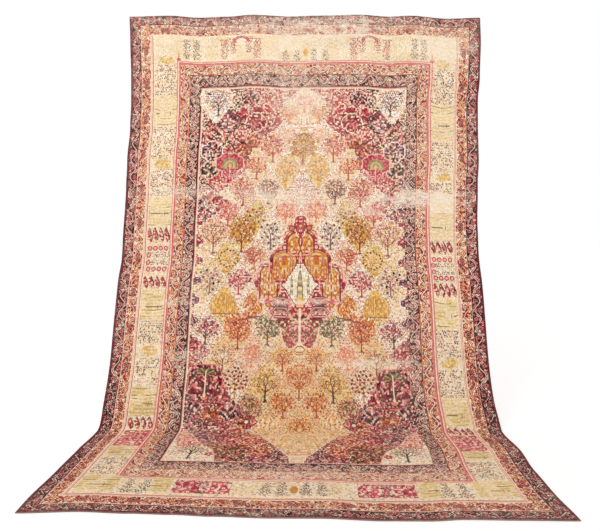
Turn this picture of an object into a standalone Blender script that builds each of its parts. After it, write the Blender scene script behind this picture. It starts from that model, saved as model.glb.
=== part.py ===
"""A room-size Persian rug, hung by its top edge with its foot drawn forward along the floor.

Metres, +Z up.  The pile faces -Y and +X is to the right of a viewer who faces it.
The origin is the middle of the hung edge, on the back of the cloth.
"""

from collections import namedtuple

import bmesh
import bpy
import numpy as np

# ----------------------------------------------------------------- driving dimensions
RUG_WIDTH = 2.90          # woven width, side to side
RUG_LENGTH = 4.42         # along the cloth, from the hung edge to the front edge
RUG_THICKNESS = 0.007     # cotton foundation with its worn wool pile
CORD_DIAMETER = 0.0062    # overcast side cord
JOIN_GAP = 0.0003         # between the cloth and its side cords

COLUMNS = 24              # mesh cells across the cloth
FLAT_ROW_PITCH = 0.115    # longest mesh row on the level or straight stretches
CURVED_ROW_PITCH = 0.062  # longest mesh row where the cloth swings gently out
FOOT_ROW_PITCH = 0.0125   # longest mesh row in the tight turn onto the floor
PATH_STEP = 0.001         # step of the running sum along the cloth

# How far the cloth has turned from plumb at each length below the hung edge.  The turn
# grows evenly between rows, so each row ends a straight run or a round arc.
Turn = namedtuple("Turn", "section arc degrees row_pitch")
SWEEP = (
    Turn("hung edge", 0.000, 0.0, FLAT_ROW_PITCH),
    Turn("plumb fall", 1.233, 0.0, FLAT_ROW_PITCH),
    Turn("drawn forward", 2.133, 18.3, CURVED_ROW_PITCH),
    Turn("slack", 2.736, 14.1, CURVED_ROW_PITCH),
    Turn("swing out", 3.286, 38.5, CURVED_ROW_PITCH),
    Turn("foot", 3.367, 90.0, FOOT_ROW_PITCH),
    Turn("floor run", RUG_LENGTH, 90.0, FLAT_ROW_PITCH),
)

# The hand-woven sides wander.  Each row moves a side outward from half the woven width.
Side = namedtuple("Side", "arc left_mm right_mm")
SIDES = (
    Side(0.00, -36, 45),
    Side(0.21, -42, 51),
    Side(0.50, -49, 43),
    Side(0.72, -49, 26),
    Side(0.92, -41, 27),
    Side(1.21, -16, 34),
    Side(1.41, -9, 24),
    Side(1.80, -2, 7),
    Side(2.02, -8, -1),
    Side(2.22, 3, 3),
    Side(2.75, 4, -4),
    Side(3.11, 7, -8),
    Side(3.28, 0, 0),
    Side(3.42, 5, -9),
    Side(3.62, 16, 1),
    Side(3.94, 22, -31),
    Side(4.22, 34, -39),
    Side(4.42, 28, -30),
)

# The two ends wander as well: rise lifts the hung edge and reach lengthens the front.
End = namedtuple("End", "across rise_mm reach_mm")
ENDS = (
    End(0.00, -5, -42),
    End(0.11, 3, -56),
    End(0.20, -14, -40),
    End(0.28, -5, -29),
    End(0.35, 11, -13),
    End(0.46, -4, 4),
    End(0.54, 4, 5),
    End(0.66, 11, 28),
    End(0.74, -5, 30),
    End(0.80, 3, 17),
    End(0.91, -22, 24),
    End(1.00, -14, 29),
)

# Soft swells of the hanging cloth, each a smooth rise or hollow that dies out around it.
Swell = namedtuple("Swell", "across arc half_across half_arc rise_mm")
SWELLS = (
    Swell(0.14, 1.30, 0.16, 0.75, 7),
    Swell(0.36, 1.75, 0.17, 0.80, -8),
    Swell(0.60, 1.45, 0.15, 0.80, 8),
    Swell(0.86, 1.65, 0.18, 0.85, -7),
    Swell(0.24, 2.55, 0.15, 0.55, 7),
    Swell(0.52, 2.60, 0.16, 0.50, -6),
    Swell(0.78, 2.50, 0.15, 0.55, 8),
)

PILE_COLOUR = (0.56, 0.33, 0.25, 1.0)
CORD_COLOUR = (0.22, 0.06, 0.11, 1.0)
WOOL_ROUGHNESS = 0.95


# ------------------------------------------------------------------- shape of the cloth
def eased(position, stations, values):
    """Value at a position between table rows, level at each row and S-shaped between."""
    stations = np.asarray(stations, dtype=float)
    values = np.asarray(values, dtype=float)
    row = np.clip(np.searchsorted(stations, position) - 1, 0, len(stations) - 2)
    part = (position - stations[row]) / (stations[row + 1] - stations[row])
    part = np.clip(part, 0.0, 1.0)
    ease = part * part * (3.0 - 2.0 * part)
    return values[row] + (values[row + 1] - values[row]) * ease


def sweep_path():
    """Running sum of short straight steps that turn as the sweep table says."""
    arc = np.arange(0.0, RUG_LENGTH + 0.1, PATH_STEP)
    turn = np.radians(np.interp(arc, [row.arc for row in SWEEP], [row.degrees for row in SWEEP]))
    middle = 0.5 * (turn[1:] + turn[:-1])
    forward = np.concatenate(([0.0], np.cumsum(np.sin(middle)) * PATH_STEP))
    fall = np.concatenate(([0.0], np.cumsum(np.cos(middle)) * PATH_STEP))
    return arc, turn, forward, fall


PATH_ARC, PATH_TURN, PATH_FORWARD, PATH_FALL = sweep_path()


def side_x(arc, side):
    """X of one side: -1 is the left side and +1 the right one."""
    column = [row.left_mm if side < 0 else row.right_mm for row in SIDES]
    wander = eased(arc, [row.arc for row in SIDES], column) / 1000.0
    return side * (RUG_WIDTH / 2.0 + wander)


def length_along(across, along):
    """Length below the hung edge's level, from 0..1 across and 0..1 along the cloth."""
    stations = [row.across for row in ENDS]
    start = -eased(across, stations, [row.rise_mm for row in ENDS]) / 1000.0
    finish = RUG_LENGTH + eased(across, stations, [row.reach_mm for row in ENDS]) / 1000.0
    return start + (finish - start) * along


def swell_height(across, arc):
    """Sum of the soft swells, each the product of two raised cosines."""
    height = 0.0
    for row in SWELLS:
        sideways = min(1.0, abs(across - row.across) / row.half_across)
        lengthways = min(1.0, abs(arc - row.arc) / row.half_arc)
        rise = 0.25 * (1.0 + np.cos(np.pi * sideways)) * (1.0 + np.cos(np.pi * lengthways))
        height += rise * row.rise_mm / 1000.0
    return height


def back_point(across, along):
    """Point on the back of the cloth, with the direction that its pile faces."""
    arc = length_along(across, along)
    inside = max(arc, 0.0)
    turn = np.interp(inside, PATH_ARC, PATH_TURN)
    forward = np.interp(inside, PATH_ARC, PATH_FORWARD)
    fall = np.interp(inside, PATH_ARC, PATH_FALL) + min(arc, 0.0)
    left = side_x(inside, -1)
    right = side_x(inside, 1)
    pile_side = np.array((0.0, -np.cos(turn), np.sin(turn)))
    point = np.array((left + (right - left) * across, -forward, -fall))
    return point + pile_side * swell_height(across, arc), pile_side


def row_stations():
    """Where the mesh rows lie, 0..1 along the cloth, closer together in the turns."""
    stations = [0.0]
    for before, after in zip(SWEEP, SWEEP[1:]):
        count = int(np.ceil((after.arc - before.arc) / after.row_pitch))
        stations.extend(np.linspace(before.arc, after.arc, count + 1)[1:])
    return np.array(stations) / RUG_LENGTH


ROW_STATIONS = row_stations()


# ------------------------------------------------------------------------ construction
def wool(name, colour):
    """Matt wool of one colour."""
    material = bpy.data.materials.new(name)
    material.use_nodes = True
    shader = material.node_tree.nodes["Principled BSDF"]
    shader.inputs["Base Color"].default_value = colour
    shader.inputs["Roughness"].default_value = WOOL_ROUGHNESS
    shader.inputs["Metallic"].default_value = 0.0
    material.diffuse_color = colour
    return material


def rug(collection):
    """The woven cloth: one open sheet from a grid, thickened towards its pile."""
    rows = len(ROW_STATIONS) - 1
    sheet = bmesh.new()
    bmesh.ops.create_grid(sheet, x_segments=COLUMNS, y_segments=rows, size=0.5)
    for corner in sheet.verts:
        row = int(round((0.5 - corner.co.y) * rows))
        point, _ = back_point(corner.co.x + 0.5, ROW_STATIONS[row])
        corner.co = point
    mesh = bpy.data.meshes.new("rug")
    sheet.to_mesh(mesh)
    sheet.free()
    mesh.shade_smooth()
    mesh.materials.append(wool("rug_pile", PILE_COLOUR))
    cloth = bpy.data.objects.new("rug", mesh)
    collection.objects.link(cloth)
    thickness = cloth.modifiers.new("thickness", "SOLIDIFY")
    thickness.thickness = RUG_THICKNESS
    thickness.offset = 1.0
    thickness.use_even_offset = True
    return cloth


def side_cord(name, side, collection):
    """Round wool-wrapped cord that follows one side of the cloth from end to end."""
    radius = CORD_DIAMETER / 2.0
    across = 0.0 if side < 0 else 1.0
    curve = bpy.data.curves.new(name, "CURVE")
    curve.dimensions = "3D"
    curve.bevel_depth = radius
    curve.bevel_resolution = 1
    curve.use_fill_caps = True
    spline = curve.splines.new("POLY")
    spline.points.add(len(ROW_STATIONS) - 1)
    for place, along in zip(spline.points, ROW_STATIONS):
        point, pile_side = back_point(across, along)
        point = point + pile_side * RUG_THICKNESS / 2.0
        point[0] += side * (radius + JOIN_GAP)
        place.co = (*point, 1.0)
    curve.materials.append(wool(name + "_wool", CORD_COLOUR))
    cord = bpy.data.objects.new(name, curve)
    collection.objects.link(cord)
    return cord


def build():
    """Clear the scene and make the rug with its two side cords."""
    for old in list(bpy.data.objects):
        bpy.data.objects.remove(old, do_unlink=True)
    collection = bpy.data.collections.new("persian_rug")
    bpy.context.scene.collection.children.link(collection)
    rug(collection)
    side_cord("selvedge_left", -1, collection)
    side_cord("selvedge_right", 1, collection)


build()
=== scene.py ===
"""A worn Persian garden rug, hung by its top edge with its foot drawn forward along the floor.

Metres, +Z up.  The pile faces -Y and +X is to the right of a viewer who faces it.
The origin is the middle of the hung edge, on the back of the cloth.
"""

from collections import namedtuple

import bpy
import numpy as np
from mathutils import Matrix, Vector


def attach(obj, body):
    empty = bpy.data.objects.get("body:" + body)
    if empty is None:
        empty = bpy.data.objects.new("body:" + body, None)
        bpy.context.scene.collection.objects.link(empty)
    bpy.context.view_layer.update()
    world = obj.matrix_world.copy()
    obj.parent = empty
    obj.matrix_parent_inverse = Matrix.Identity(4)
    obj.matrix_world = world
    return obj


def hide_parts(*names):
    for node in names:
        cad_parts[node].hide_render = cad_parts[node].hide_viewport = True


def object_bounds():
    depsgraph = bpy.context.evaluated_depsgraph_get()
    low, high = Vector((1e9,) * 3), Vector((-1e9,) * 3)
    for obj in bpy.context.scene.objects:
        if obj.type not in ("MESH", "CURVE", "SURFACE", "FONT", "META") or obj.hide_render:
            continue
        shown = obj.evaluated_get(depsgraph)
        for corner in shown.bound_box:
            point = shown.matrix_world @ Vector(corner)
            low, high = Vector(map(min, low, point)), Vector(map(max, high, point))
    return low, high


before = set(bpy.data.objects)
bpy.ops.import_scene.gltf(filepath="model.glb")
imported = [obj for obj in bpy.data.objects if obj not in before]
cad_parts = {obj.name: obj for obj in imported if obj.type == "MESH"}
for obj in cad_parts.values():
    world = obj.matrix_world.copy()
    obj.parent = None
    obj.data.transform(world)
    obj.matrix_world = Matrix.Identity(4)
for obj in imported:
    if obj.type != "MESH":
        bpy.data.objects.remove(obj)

CAD_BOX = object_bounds()

# ============================================================ the knotted cloth
# A hand-knotted rug: wool pile on a cotton ground, woven in one piece on an upright loom.
# It hangs plumb from its top end, swings out above the floor and runs forward along it.

RUG_WIDTH = 2.90
RUG_LENGTH = 4.42
RUG_THICKNESS = 0.007
PATH_STEP = 0.001

# How far the cloth has turned from plumb at each length below the hung edge.
Turn = namedtuple("Turn", "section arc degrees")
SWEEP = (
    Turn("hung edge", 0.000, 0.0),
    Turn("plumb fall", 1.233, 0.0),
    Turn("drawn forward", 2.133, 18.3),
    Turn("slack", 2.736, 14.1),
    Turn("swing out", 3.286, 38.5),
    Turn("foot", 3.367, 90.0),
    Turn("floor run", RUG_LENGTH, 90.0),
)

# The hand-woven sides wander.  Each row moves a side outward from half the woven width.
Side = namedtuple("Side", "arc left_mm right_mm")
SIDES = (
    Side(0.00, -36, 45),
    Side(0.21, -42, 51),
    Side(0.50, -49, 43),
    Side(0.72, -49, 26),
    Side(0.92, -41, 27),
    Side(1.21, -16, 34),
    Side(1.41, -9, 24),
    Side(1.80, -2, 7),
    Side(2.02, -8, -1),
    Side(2.22, 3, 3),
    Side(2.75, 4, -4),
    Side(3.11, 7, -8),
    Side(3.28, 0, 0),
    Side(3.42, 5, -9),
    Side(3.62, 16, 1),
    Side(3.94, 22, -31),
    Side(4.22, 34, -39),
    Side(4.42, 28, -30),
)

# The two ends wander as well: rise lifts the hung edge and reach lengthens the front.
End = namedtuple("End", "across rise_mm reach_mm")
ENDS = (
    End(0.00, -5, -42),
    End(0.11, 3, -56),
    End(0.20, -14, -40),
    End(0.28, -5, -29),
    End(0.35, 11, -13),
    End(0.46, -4, 4),
    End(0.54, 4, 5),
    End(0.66, 11, 28),
    End(0.74, -5, 30),
    End(0.80, 3, 17),
    End(0.91, -22, 24),
    End(1.00, -14, 29),
)

# Soft swells of the hanging cloth, each a smooth rise or hollow that dies out around it.
Swell = namedtuple("Swell", "across arc half_across half_arc rise_mm")
SWELLS = (
    Swell(0.14, 1.30, 0.16, 0.75, 7),
    Swell(0.36, 1.75, 0.17, 0.80, -8),
    Swell(0.60, 1.45, 0.15, 0.80, 8),
    Swell(0.86, 1.65, 0.18, 0.85, -7),
    Swell(0.24, 2.55, 0.15, 0.55, 7),
    Swell(0.52, 2.60, 0.16, 0.50, -6),
    Swell(0.78, 2.50, 0.15, 0.55, 8),
)

# Creases left by folding and hanging, each along a straight line on the cloth.
Crease = namedtuple("Crease", "from_across from_arc to_across to_arc half_width rise_mm")
CREASES = (
    Crease(0.02, 1.40, 0.47, 1.45, 0.050, -3.0),
    Crease(0.47, 1.47, 0.98, 1.53, 0.055, -4.0),
    Crease(0.04, 2.35, 0.62, 2.39, 0.045, 2.5),
    Crease(0.38, 2.84, 0.97, 2.80, 0.050, -3.5),
    Crease(0.03, 0.62, 0.40, 0.66, 0.060, 2.5),
    Crease(0.55, 0.60, 0.98, 0.64, 0.060, -2.5),
    Crease(0.21, 0.04, 0.23, 1.05, 0.060, 3.5),
    Crease(0.44, 0.03, 0.42, 0.95, 0.070, -3.5),
    Crease(0.67, 0.03, 0.69, 0.90, 0.055, 3.5),
    Crease(0.86, 0.04, 0.83, 1.15, 0.060, -3.0),
    Crease(0.03, 2.45, 0.14, 3.15, 0.055, 4.5),
    Crease(0.97, 2.50, 0.87, 3.16, 0.055, 4.5),
    Crease(0.33, 2.75, 0.36, 3.20, 0.050, -3.0),
    Crease(0.60, 2.90, 0.58, 3.22, 0.050, 3.0),
)


def eased(position, stations, values):
    """Value at each position between table rows, level at each row and S-shaped between."""
    stations = np.asarray(stations, dtype=float)
    values = np.asarray(values, dtype=float)
    row = np.clip(np.searchsorted(stations, position) - 1, 0, len(stations) - 2)
    part = (position - stations[row]) / (stations[row + 1] - stations[row])
    part = np.clip(part, 0.0, 1.0)
    ease = part * part * (3.0 - 2.0 * part)
    return values[row] + (values[row + 1] - values[row]) * ease


def sweep_path():
    """Running sum of short straight steps that turn as the sweep table says."""
    arc = np.arange(0.0, RUG_LENGTH + 0.1, PATH_STEP)
    turn = np.radians(np.interp(arc, [row.arc for row in SWEEP], [row.degrees for row in SWEEP]))
    middle = 0.5 * (turn[1:] + turn[:-1])
    forward = np.concatenate(([0.0], np.cumsum(np.sin(middle)) * PATH_STEP))
    fall = np.concatenate(([0.0], np.cumsum(np.cos(middle)) * PATH_STEP))
    return arc, turn, forward, fall


PATH_ARC, PATH_TURN, PATH_FORWARD, PATH_FALL = sweep_path()


def swell_height(across, arc):
    """Sum of the soft swells, each the product of two raised cosines."""
    height = np.zeros_like(across)
    for row in SWELLS:
        sideways = np.minimum(1.0, np.abs(across - row.across) / row.half_across)
        lengthways = np.minimum(1.0, np.abs(arc - row.arc) / row.half_arc)
        rise = 0.25 * (1.0 + np.cos(np.pi * sideways)) * (1.0 + np.cos(np.pi * lengthways))
        height += rise * row.rise_mm / 1000.0
    return height


def crease_height(across, arc):
    """Sum of the creases: a raised cosine of the distance from each line, faded to its ends."""
    height = np.zeros_like(across)
    for row in CREASES:
        run_x = (row.to_across - row.from_across) * RUG_WIDTH
        run_y = row.to_arc - row.from_arc
        length = np.hypot(run_x, run_y)
        x = (across - row.from_across) * RUG_WIDTH
        y = arc - row.from_arc
        share = np.clip((x * run_x + y * run_y) / length ** 2, 0.0, 1.0)
        off = np.abs(x * run_y - y * run_x) / length / row.half_width
        ridge = 0.5 * (1.0 + np.cos(np.pi * np.minimum(1.0, off)))
        height += ridge * np.sin(np.pi * share) * row.rise_mm / 1000.0
    return height


def cloth_points(across, along, lift):
    """Points on the cloth, 0..1 across and 0..1 along, lifted from its back towards the pile.

    The length along the cloth gives forward and fall from the sweep; the side tables give X;
    swells, creases and the lift are added square to the cloth, on its pile side.
    """
    stations = [row.across for row in ENDS]
    start = -eased(across, stations, [row.rise_mm for row in ENDS]) / 1000.0
    finish = RUG_LENGTH + eased(across, stations, [row.reach_mm for row in ENDS]) / 1000.0
    arc = start + (finish - start) * along
    inside = np.maximum(arc, 0.0)
    turn = np.interp(inside, PATH_ARC, PATH_TURN)
    forward = np.interp(inside, PATH_ARC, PATH_FORWARD)
    fall = np.interp(inside, PATH_ARC, PATH_FALL) + np.minimum(arc, 0.0)
    arcs = [row.arc for row in SIDES]
    left = -RUG_WIDTH / 2.0 - eased(inside, arcs, [row.left_mm for row in SIDES]) / 1000.0
    right = RUG_WIDTH / 2.0 + eased(inside, arcs, [row.right_mm for row in SIDES]) / 1000.0
    out = swell_height(across, arc) + crease_height(across, arc) + lift
    x = left + (right - left) * across
    y = -forward - np.cos(turn) * out
    z = -fall + np.sin(turn) * out
    return np.stack((x, y, z), axis=-1)


# ------------------------------------------------------------ dyes and the knot chart
# The dyer's wools, as red, green and blue of the wound yarn, and the chart that the weaver
# follows: one dye for each knot, 1000 knots across and 1524 rows along.
Dye = namedtuple("Dye", "name red green blue")
DYES = (
    Dye("white", 252, 247, 238),
    Dye("ivory", 250, 231, 200),
    Dye("cream", 246, 222, 182),
    Dye("straw", 239, 208, 144),
    Dye("khaki", 206, 182, 128),
    Dye("blush", 245, 194, 176),
    Dye("rose", 224, 124, 118),
    Dye("pink", 222, 72, 104),
    Dye("deep rose", 192, 56, 74),
    Dye("crimson", 160, 26, 52),
    Dye("dark crimson", 112, 18, 32),
    Dye("plum", 96, 28, 42),
    Dye("aubergine", 58, 20, 28),
    Dye("black", 30, 13, 15),
    Dye("navy", 36, 40, 62),
    Dye("teal", 60, 84, 82),
    Dye("lilac", 204, 162, 170),
    Dye("violet", 152, 94, 112),
    Dye("dusk", 106, 60, 76),
    Dye("olive", 128, 106, 56),
    Dye("sage", 166, 156, 110),
    Dye("grey", 190, 176, 156),
    Dye("gold", 231, 172, 60),
    Dye("ochre", 206, 142, 52),
    Dye("orange", 224, 118, 48),
    Dye("salmon", 239, 143, 98),
    Dye("rust", 184, 70, 42),
    Dye("brown", 104, 50, 32),
    Dye("apricot", 249, 197, 144),
    Dye("moss", 92, 86, 56),
)
(WHITE, IVORY, CREAM, STRAW, KHAKI, BLUSH, ROSE, PINK, DEEP_ROSE, CRIMSON,
 DARK_CRIMSON, PLUM, AUBERGINE, BLACK, NAVY, TEAL, LILAC, VIOLET, DUSK, OLIVE,
 SAGE, GREY, GOLD, OCHRE, ORANGE, SALMON, RUST, BROWN, APRICOT, MOSS) = range(len(DYES))

FACE_KNOTS = 4                     # knots along each side of a mesh face
FACE_COLUMNS = 250
FACE_ROWS = 381
COLUMNS = FACE_COLUMNS * FACE_KNOTS
ROWS = FACE_ROWS * FACE_KNOTS
KNOT = RUG_WIDTH / COLUMNS
SPECK = 0.012                      # side of the small squares that chance fills or leaves out

chart = np.full((ROWS, COLUMNS), CREAM, dtype=np.uint8)
knot_x = ((np.arange(COLUMNS) + 0.5) / COLUMNS - 0.5) * RUG_WIDTH
knot_y = (np.arange(ROWS) + 0.5) / ROWS * RUG_LENGTH


def patch(x0, x1, y0, y1):
    """The knots of a rectangle: a view of the chart to paint in, and their x and y."""
    left, right = np.searchsorted(knot_x, (x0, x1))
    top, foot = np.searchsorted(knot_y, (y0, y1))
    x, y = np.meshgrid(knot_x[left:right], knot_y[top:foot])
    return chart[top:foot, left:right], x, y


def chance(i, j, seed):
    """Numbers from 0 to 1 that depend only on whole numbers i and j and a seed."""
    i = np.asarray(i).astype(np.int64)
    j = np.asarray(j).astype(np.int64)
    mixed = (i * 374761393 + j * 668265263 + seed * 974711) & 0xFFFFFFFF
    mixed = ((mixed ^ (mixed >> 13)) * 1274126177) & 0xFFFFFFFF
    return ((mixed ^ (mixed >> 16)) & 0xFFFF) / 65536.0


def pick(dyes, i, j, seed):
    """One of the dyes for each pair of whole numbers, by chance."""
    return np.asarray(dyes)[(chance(i, j, seed) * len(dyes)).astype(int)]


def specks(x, y, seed):
    """Numbers from 0 to 1, the same for all knots of a small square."""
    return chance(np.round(x / SPECK), np.round(y / SPECK), seed)


def lay(cells, where, dyes):
    """Ties the knots of a mask in one dye, or each in its own."""
    cells[...] = np.where(where, dyes, cells)


def drift(x, y, size, seed):
    """Soft noise from 0 to 1: random values on a square net, blended S-shaped between."""
    u = x / size
    v = y / size
    i = np.floor(u)
    j = np.floor(v)
    p = u - i
    q = v - j
    p = p * p * (3.0 - 2.0 * p)
    q = q * q * (3.0 - 2.0 * q)
    upper = chance(i, j, seed) * (1.0 - p) + chance(i + 1, j, seed) * p
    lower = chance(i, j + 1, seed) * (1.0 - p) + chance(i + 1, j + 1, seed) * p
    return upper * (1.0 - q) + lower * q


def stroke(points, width, dye):
    """A line of knots: those within half a width of a chain of straight runs."""
    for (xa, ya), (xb, yb) in zip(points, points[1:]):
        pad = 0.5 * width + KNOT
        cells, x, y = patch(min(xa, xb) - pad, max(xa, xb) + pad, min(ya, yb) - pad, max(ya, yb) + pad)
        run_x = xb - xa
        run_y = yb - ya
        share = np.clip(((x - xa) * run_x + (y - ya) * run_y) / (run_x ** 2 + run_y ** 2 + 1e-12), 0, 1)
        off = np.hypot(x - xa - share * run_x, y - ya - share * run_y)
        cells[off <= 0.5 * width] = dye


def disc(x, y, wide, tall, dye):
    """A filled ellipse of full sizes wide and tall."""
    reach = 0.5 * max(wide, tall) + KNOT
    cells, kx, ky = patch(x - reach, x + reach, y - reach, y + reach)
    cells[(2 * (kx - x) / wide) ** 2 + (2 * (ky - y) / tall) ** 2 <= 1.0] = dye


def leaf(x, y, length, width, turn, dye):
    """A pointed leaf: its half width is a parabola along its length."""
    reach = 0.5 * length + KNOT
    cells, kx, ky = patch(x - reach, x + reach, y - reach, y + reach)
    u = ((kx - x) * np.cos(turn) + (ky - y) * np.sin(turn)) * 2 / length
    v = ((ky - y) * np.cos(turn) - (kx - x) * np.sin(turn)) * 2 / width
    cells[np.abs(v) <= 1.0 - u * u] = dye


def rosette(x, y, size, petals, layers):
    """Petals round a centre: each (share, dye) fills out to that share of a lobed radius."""
    reach = 0.55 * size + KNOT
    cells, kx, ky = patch(x - reach, x + reach, y - reach, y + reach)
    angle = np.arctan2(ky - y, kx - x)
    lobed = 0.5 * size * (0.84 + 0.16 * np.cos(petals * angle))
    away = np.hypot(kx - x, ky - y) / lobed
    for share, dye in layers:
        cells[away <= share] = dye


def sow(cells, x, y, where, pitch, size, dyes, seed, share=1.0, slim=0.62, family=0):
    """Small leaf-shaped marks in loosely staggered rows wherever a mask allows.

    Chance gives each mark its lean, its shift from the row and its dye, and leaves some out;
    slim is a mark's width for its length.  With rows of dyes, family says which row is used.
    """
    row = np.round(y / pitch)
    stagger = 0.5 * (row % 2)
    column = np.round(x / pitch - stagger)
    lean = np.pi * chance(column, row, seed + 11)
    dx = x - (column + stagger + 0.45 * (chance(column, row, seed + 7) - 0.5)) * pitch
    dy = y - (row + 0.45 * (chance(column, row, seed + 9) - 0.5)) * pitch
    u = dx * np.cos(lean) + dy * np.sin(lean)
    v = dy * np.cos(lean) - dx * np.sin(lean)
    marks = where & (u * u + (v / slim) ** 2 <= 0.25 * size * size)
    marks &= chance(column, row, seed) < share
    table = np.atleast_2d(dyes)
    lay(cells, marks, table[family, (chance(column, row, seed + 3) * table.shape[1]).astype(int)])


def mosaic(cells, x, y, where, pitch, dyes, seed, family=0):
    """Small uneven patches: each knot takes the dye of the nearest of many scattered points.

    One point lies in each square of the pitch, moved about in it by chance; the nearest is
    sought in the knot's own square and the eight round it.
    """
    column = np.floor(x / pitch)
    row = np.floor(y / pitch)
    best = np.full(x.shape, 9.0)
    picked = np.zeros(x.shape)
    for i in (-1, 0, 1):
        for j in (-1, 0, 1):
            dx = x / pitch - (column + i) - 0.15 - 0.7 * chance(column + i, row + j, seed)
            dy = y / pitch - (row + j) - 0.15 - 0.7 * chance(column + i, row + j, seed + 1)
            away = dx * dx + dy * dy
            closer = away < best
            best = np.where(closer, away, best)
            picked = np.where(closer, chance(column + i, row + j, seed + 2), picked)
    table = np.atleast_2d(dyes)
    lay(cells, where, table[family, (picked * table.shape[1]).astype(int)])


def tendrils(x, y, size, seed):
    """0 on curling lines and up to 1 between them: the level lines of two summed soft noises."""
    soft = drift(x, y, size, seed) + 0.5 * drift(x, y, 0.5 * size, seed + 1)
    level = 2.6 * soft
    return 2.0 * np.abs(level - np.round(level))


# ======================================================================== guard borders
# Narrow bands of vines and flowers that run round the rug on both sides of the main
# border: a dark and an orange guard outside it, and an orange and a dark one inside it.

# Each band's inner edge, measured from the left, right, top and bottom edge of the rug.
Band = namedtuple("Band", "name left right top bottom")
BANDS = (
    Band("edge", 0.010, 0.008, 0.006, 0.008),
    Band("outer dark guard", 0.085, 0.092, 0.078, 0.076),
    Band("outer orange guard", 0.165, 0.178, 0.160, 0.158),
    Band("crimson lines", 0.190, 0.203, 0.168, 0.182),
    Band("main border", 0.380, 0.390, 0.375, 0.360),
    Band("pink lines", 0.408, 0.420, 0.400, 0.382),
    Band("inner orange guard", 0.486, 0.508, 0.488, 0.480),
    Band("inner dark guard", 0.577, 0.598, 0.585, 0.580),
    Band("field lines", 0.597, 0.602, 0.610, 0.592),
)
BAND_NAMES = [row.name for row in BANDS]


def rings():
    """Band number and share across it for every knot, with the run along it, mitred at corners.

    The distance from each edge is turned into band numbers by its own column of the table;
    the least of the four tells which side of the rug a knot belongs to.
    """
    x, y = np.meshgrid(knot_x, knot_y)
    steps = np.arange(len(BANDS) + 1.0)
    inward = np.stack([
        np.interp(x + RUG_WIDTH / 2, [0.0] + [row.left for row in BANDS], steps),
        np.interp(RUG_WIDTH / 2 - x, [0.0] + [row.right for row in BANDS], steps),
        np.interp(y, [0.0] + [row.top for row in BANDS], steps),
        np.interp(RUG_LENGTH - y, [0.0] + [row.bottom for row in BANDS], steps),
    ])
    return inward.min(axis=0), np.where(inward.argmin(axis=0) < 2, y, x)


RING, RING_RUN = rings()


def band_knots(name):
    """The knots of one band: mask, length along it, and distance from its middle in metres."""
    number = BAND_NAMES.index(name)
    mask = (RING >= number) & (RING < number + 1)
    width = BANDS[number].left - BANDS[number - 1].left
    return mask, RING_RUN[mask], (RING[mask] - number - 0.5) * width, width


# Each guard's period and swing are those of its stem, a cosine of the run.  Patches and leaves
# are dyes picked by chance; tendrils are (share, dye), the stem (width, dye) and petals
# (radius, dye) from outside in.  Low is the length below which darker leaves are sown on it,
# their size, share and dyes; lines are the dyes of its outer and its inner edge.
Guard = namedtuple("Guard", "band seed period swing patches tendrils stem petals leaves low lines")
Low = namedtuple("Low", "below size share dyes")
GUARDS = (
    Guard("outer dark guard", 11, 0.142, 0.27,
          (BLACK, BLUSH, PLUM, ROSE, BLACK, ROSE, DEEP_ROSE, PLUM, DEEP_ROSE, BLUSH),
          (0.22, BLACK), (0.0060, BLUSH), ((0.022, BLACK), (0.016, ROSE), (0.008, PLUM)),
          (BLUSH, BLACK, IVORY, BLACK, ROSE),
          Low(3.0, 0.0130, 0.88, (BLACK, PLUM, AUBERGINE, BLACK)), (PLUM, BLACK)),
    Guard("outer orange guard", 23, 0.145, 0.25,
          (SALMON, IVORY, CRIMSON, APRICOT, CRIMSON, IVORY, ORANGE, IVORY, ORANGE, DARK_CRIMSON,
           IVORY, BLUSH),
          (0.15, CRIMSON), (0.0060, APRICOT),
          ((0.020, DARK_CRIMSON), (0.014, APRICOT), (0.007, CRIMSON)),
          (APRICOT, CRIMSON, PLUM, IVORY),
          Low(2.7, 0.0125, 0.45, (CRIMSON, DARK_CRIMSON, PLUM, RUST)), (BLUSH, BLUSH)),
    Guard("inner orange guard", 37, 0.145, 0.25,
          (SALMON, IVORY, ROSE, IVORY, CRIMSON, CRIMSON, IVORY, GOLD, DARK_CRIMSON, APRICOT,
           IVORY, BLUSH),
          (0.13, CRIMSON), (0.0060, IVORY),
          ((0.020, CRIMSON), (0.014, APRICOT), (0.007, DARK_CRIMSON)),
          (IVORY, CRIMSON, PLUM, APRICOT), None, (ROSE, SALMON)),
    Guard("inner dark guard", 41, 0.155, 0.30,
          (BLACK, BLUSH, CRIMSON, IVORY, BLACK, ROSE, BLUSH, PLUM, ROSE, BLUSH),
          (0.20, BLACK), (0.0070, BLUSH), ((0.024, BLACK), (0.017, BLUSH), (0.009, CRIMSON)),
          (IVORY, BLACK, BLUSH, BLACK),
          Low(3.2, 0.0120, 0.42, (BLACK, PLUM, BLACK)), (AUBERGINE, AUBERGINE)),
)
GUARD_LINE = 0.0045        # width of the plain line along each edge of a guard
GUARD_PATCH = 0.0128       # pitch of the small patches
TENDRIL = 0.036            # size of the tendrils' curls
STEM_EDGE = 0.0042         # width of the darker edge on each side of a stem
VINE_LEAF = (0.0085, 0.0055, 0.0105)    # half length, half width and distance from the stem
PAIR_PITCH = 0.29          # from one pair of plum flowers to the next on the outer orange guard


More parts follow.
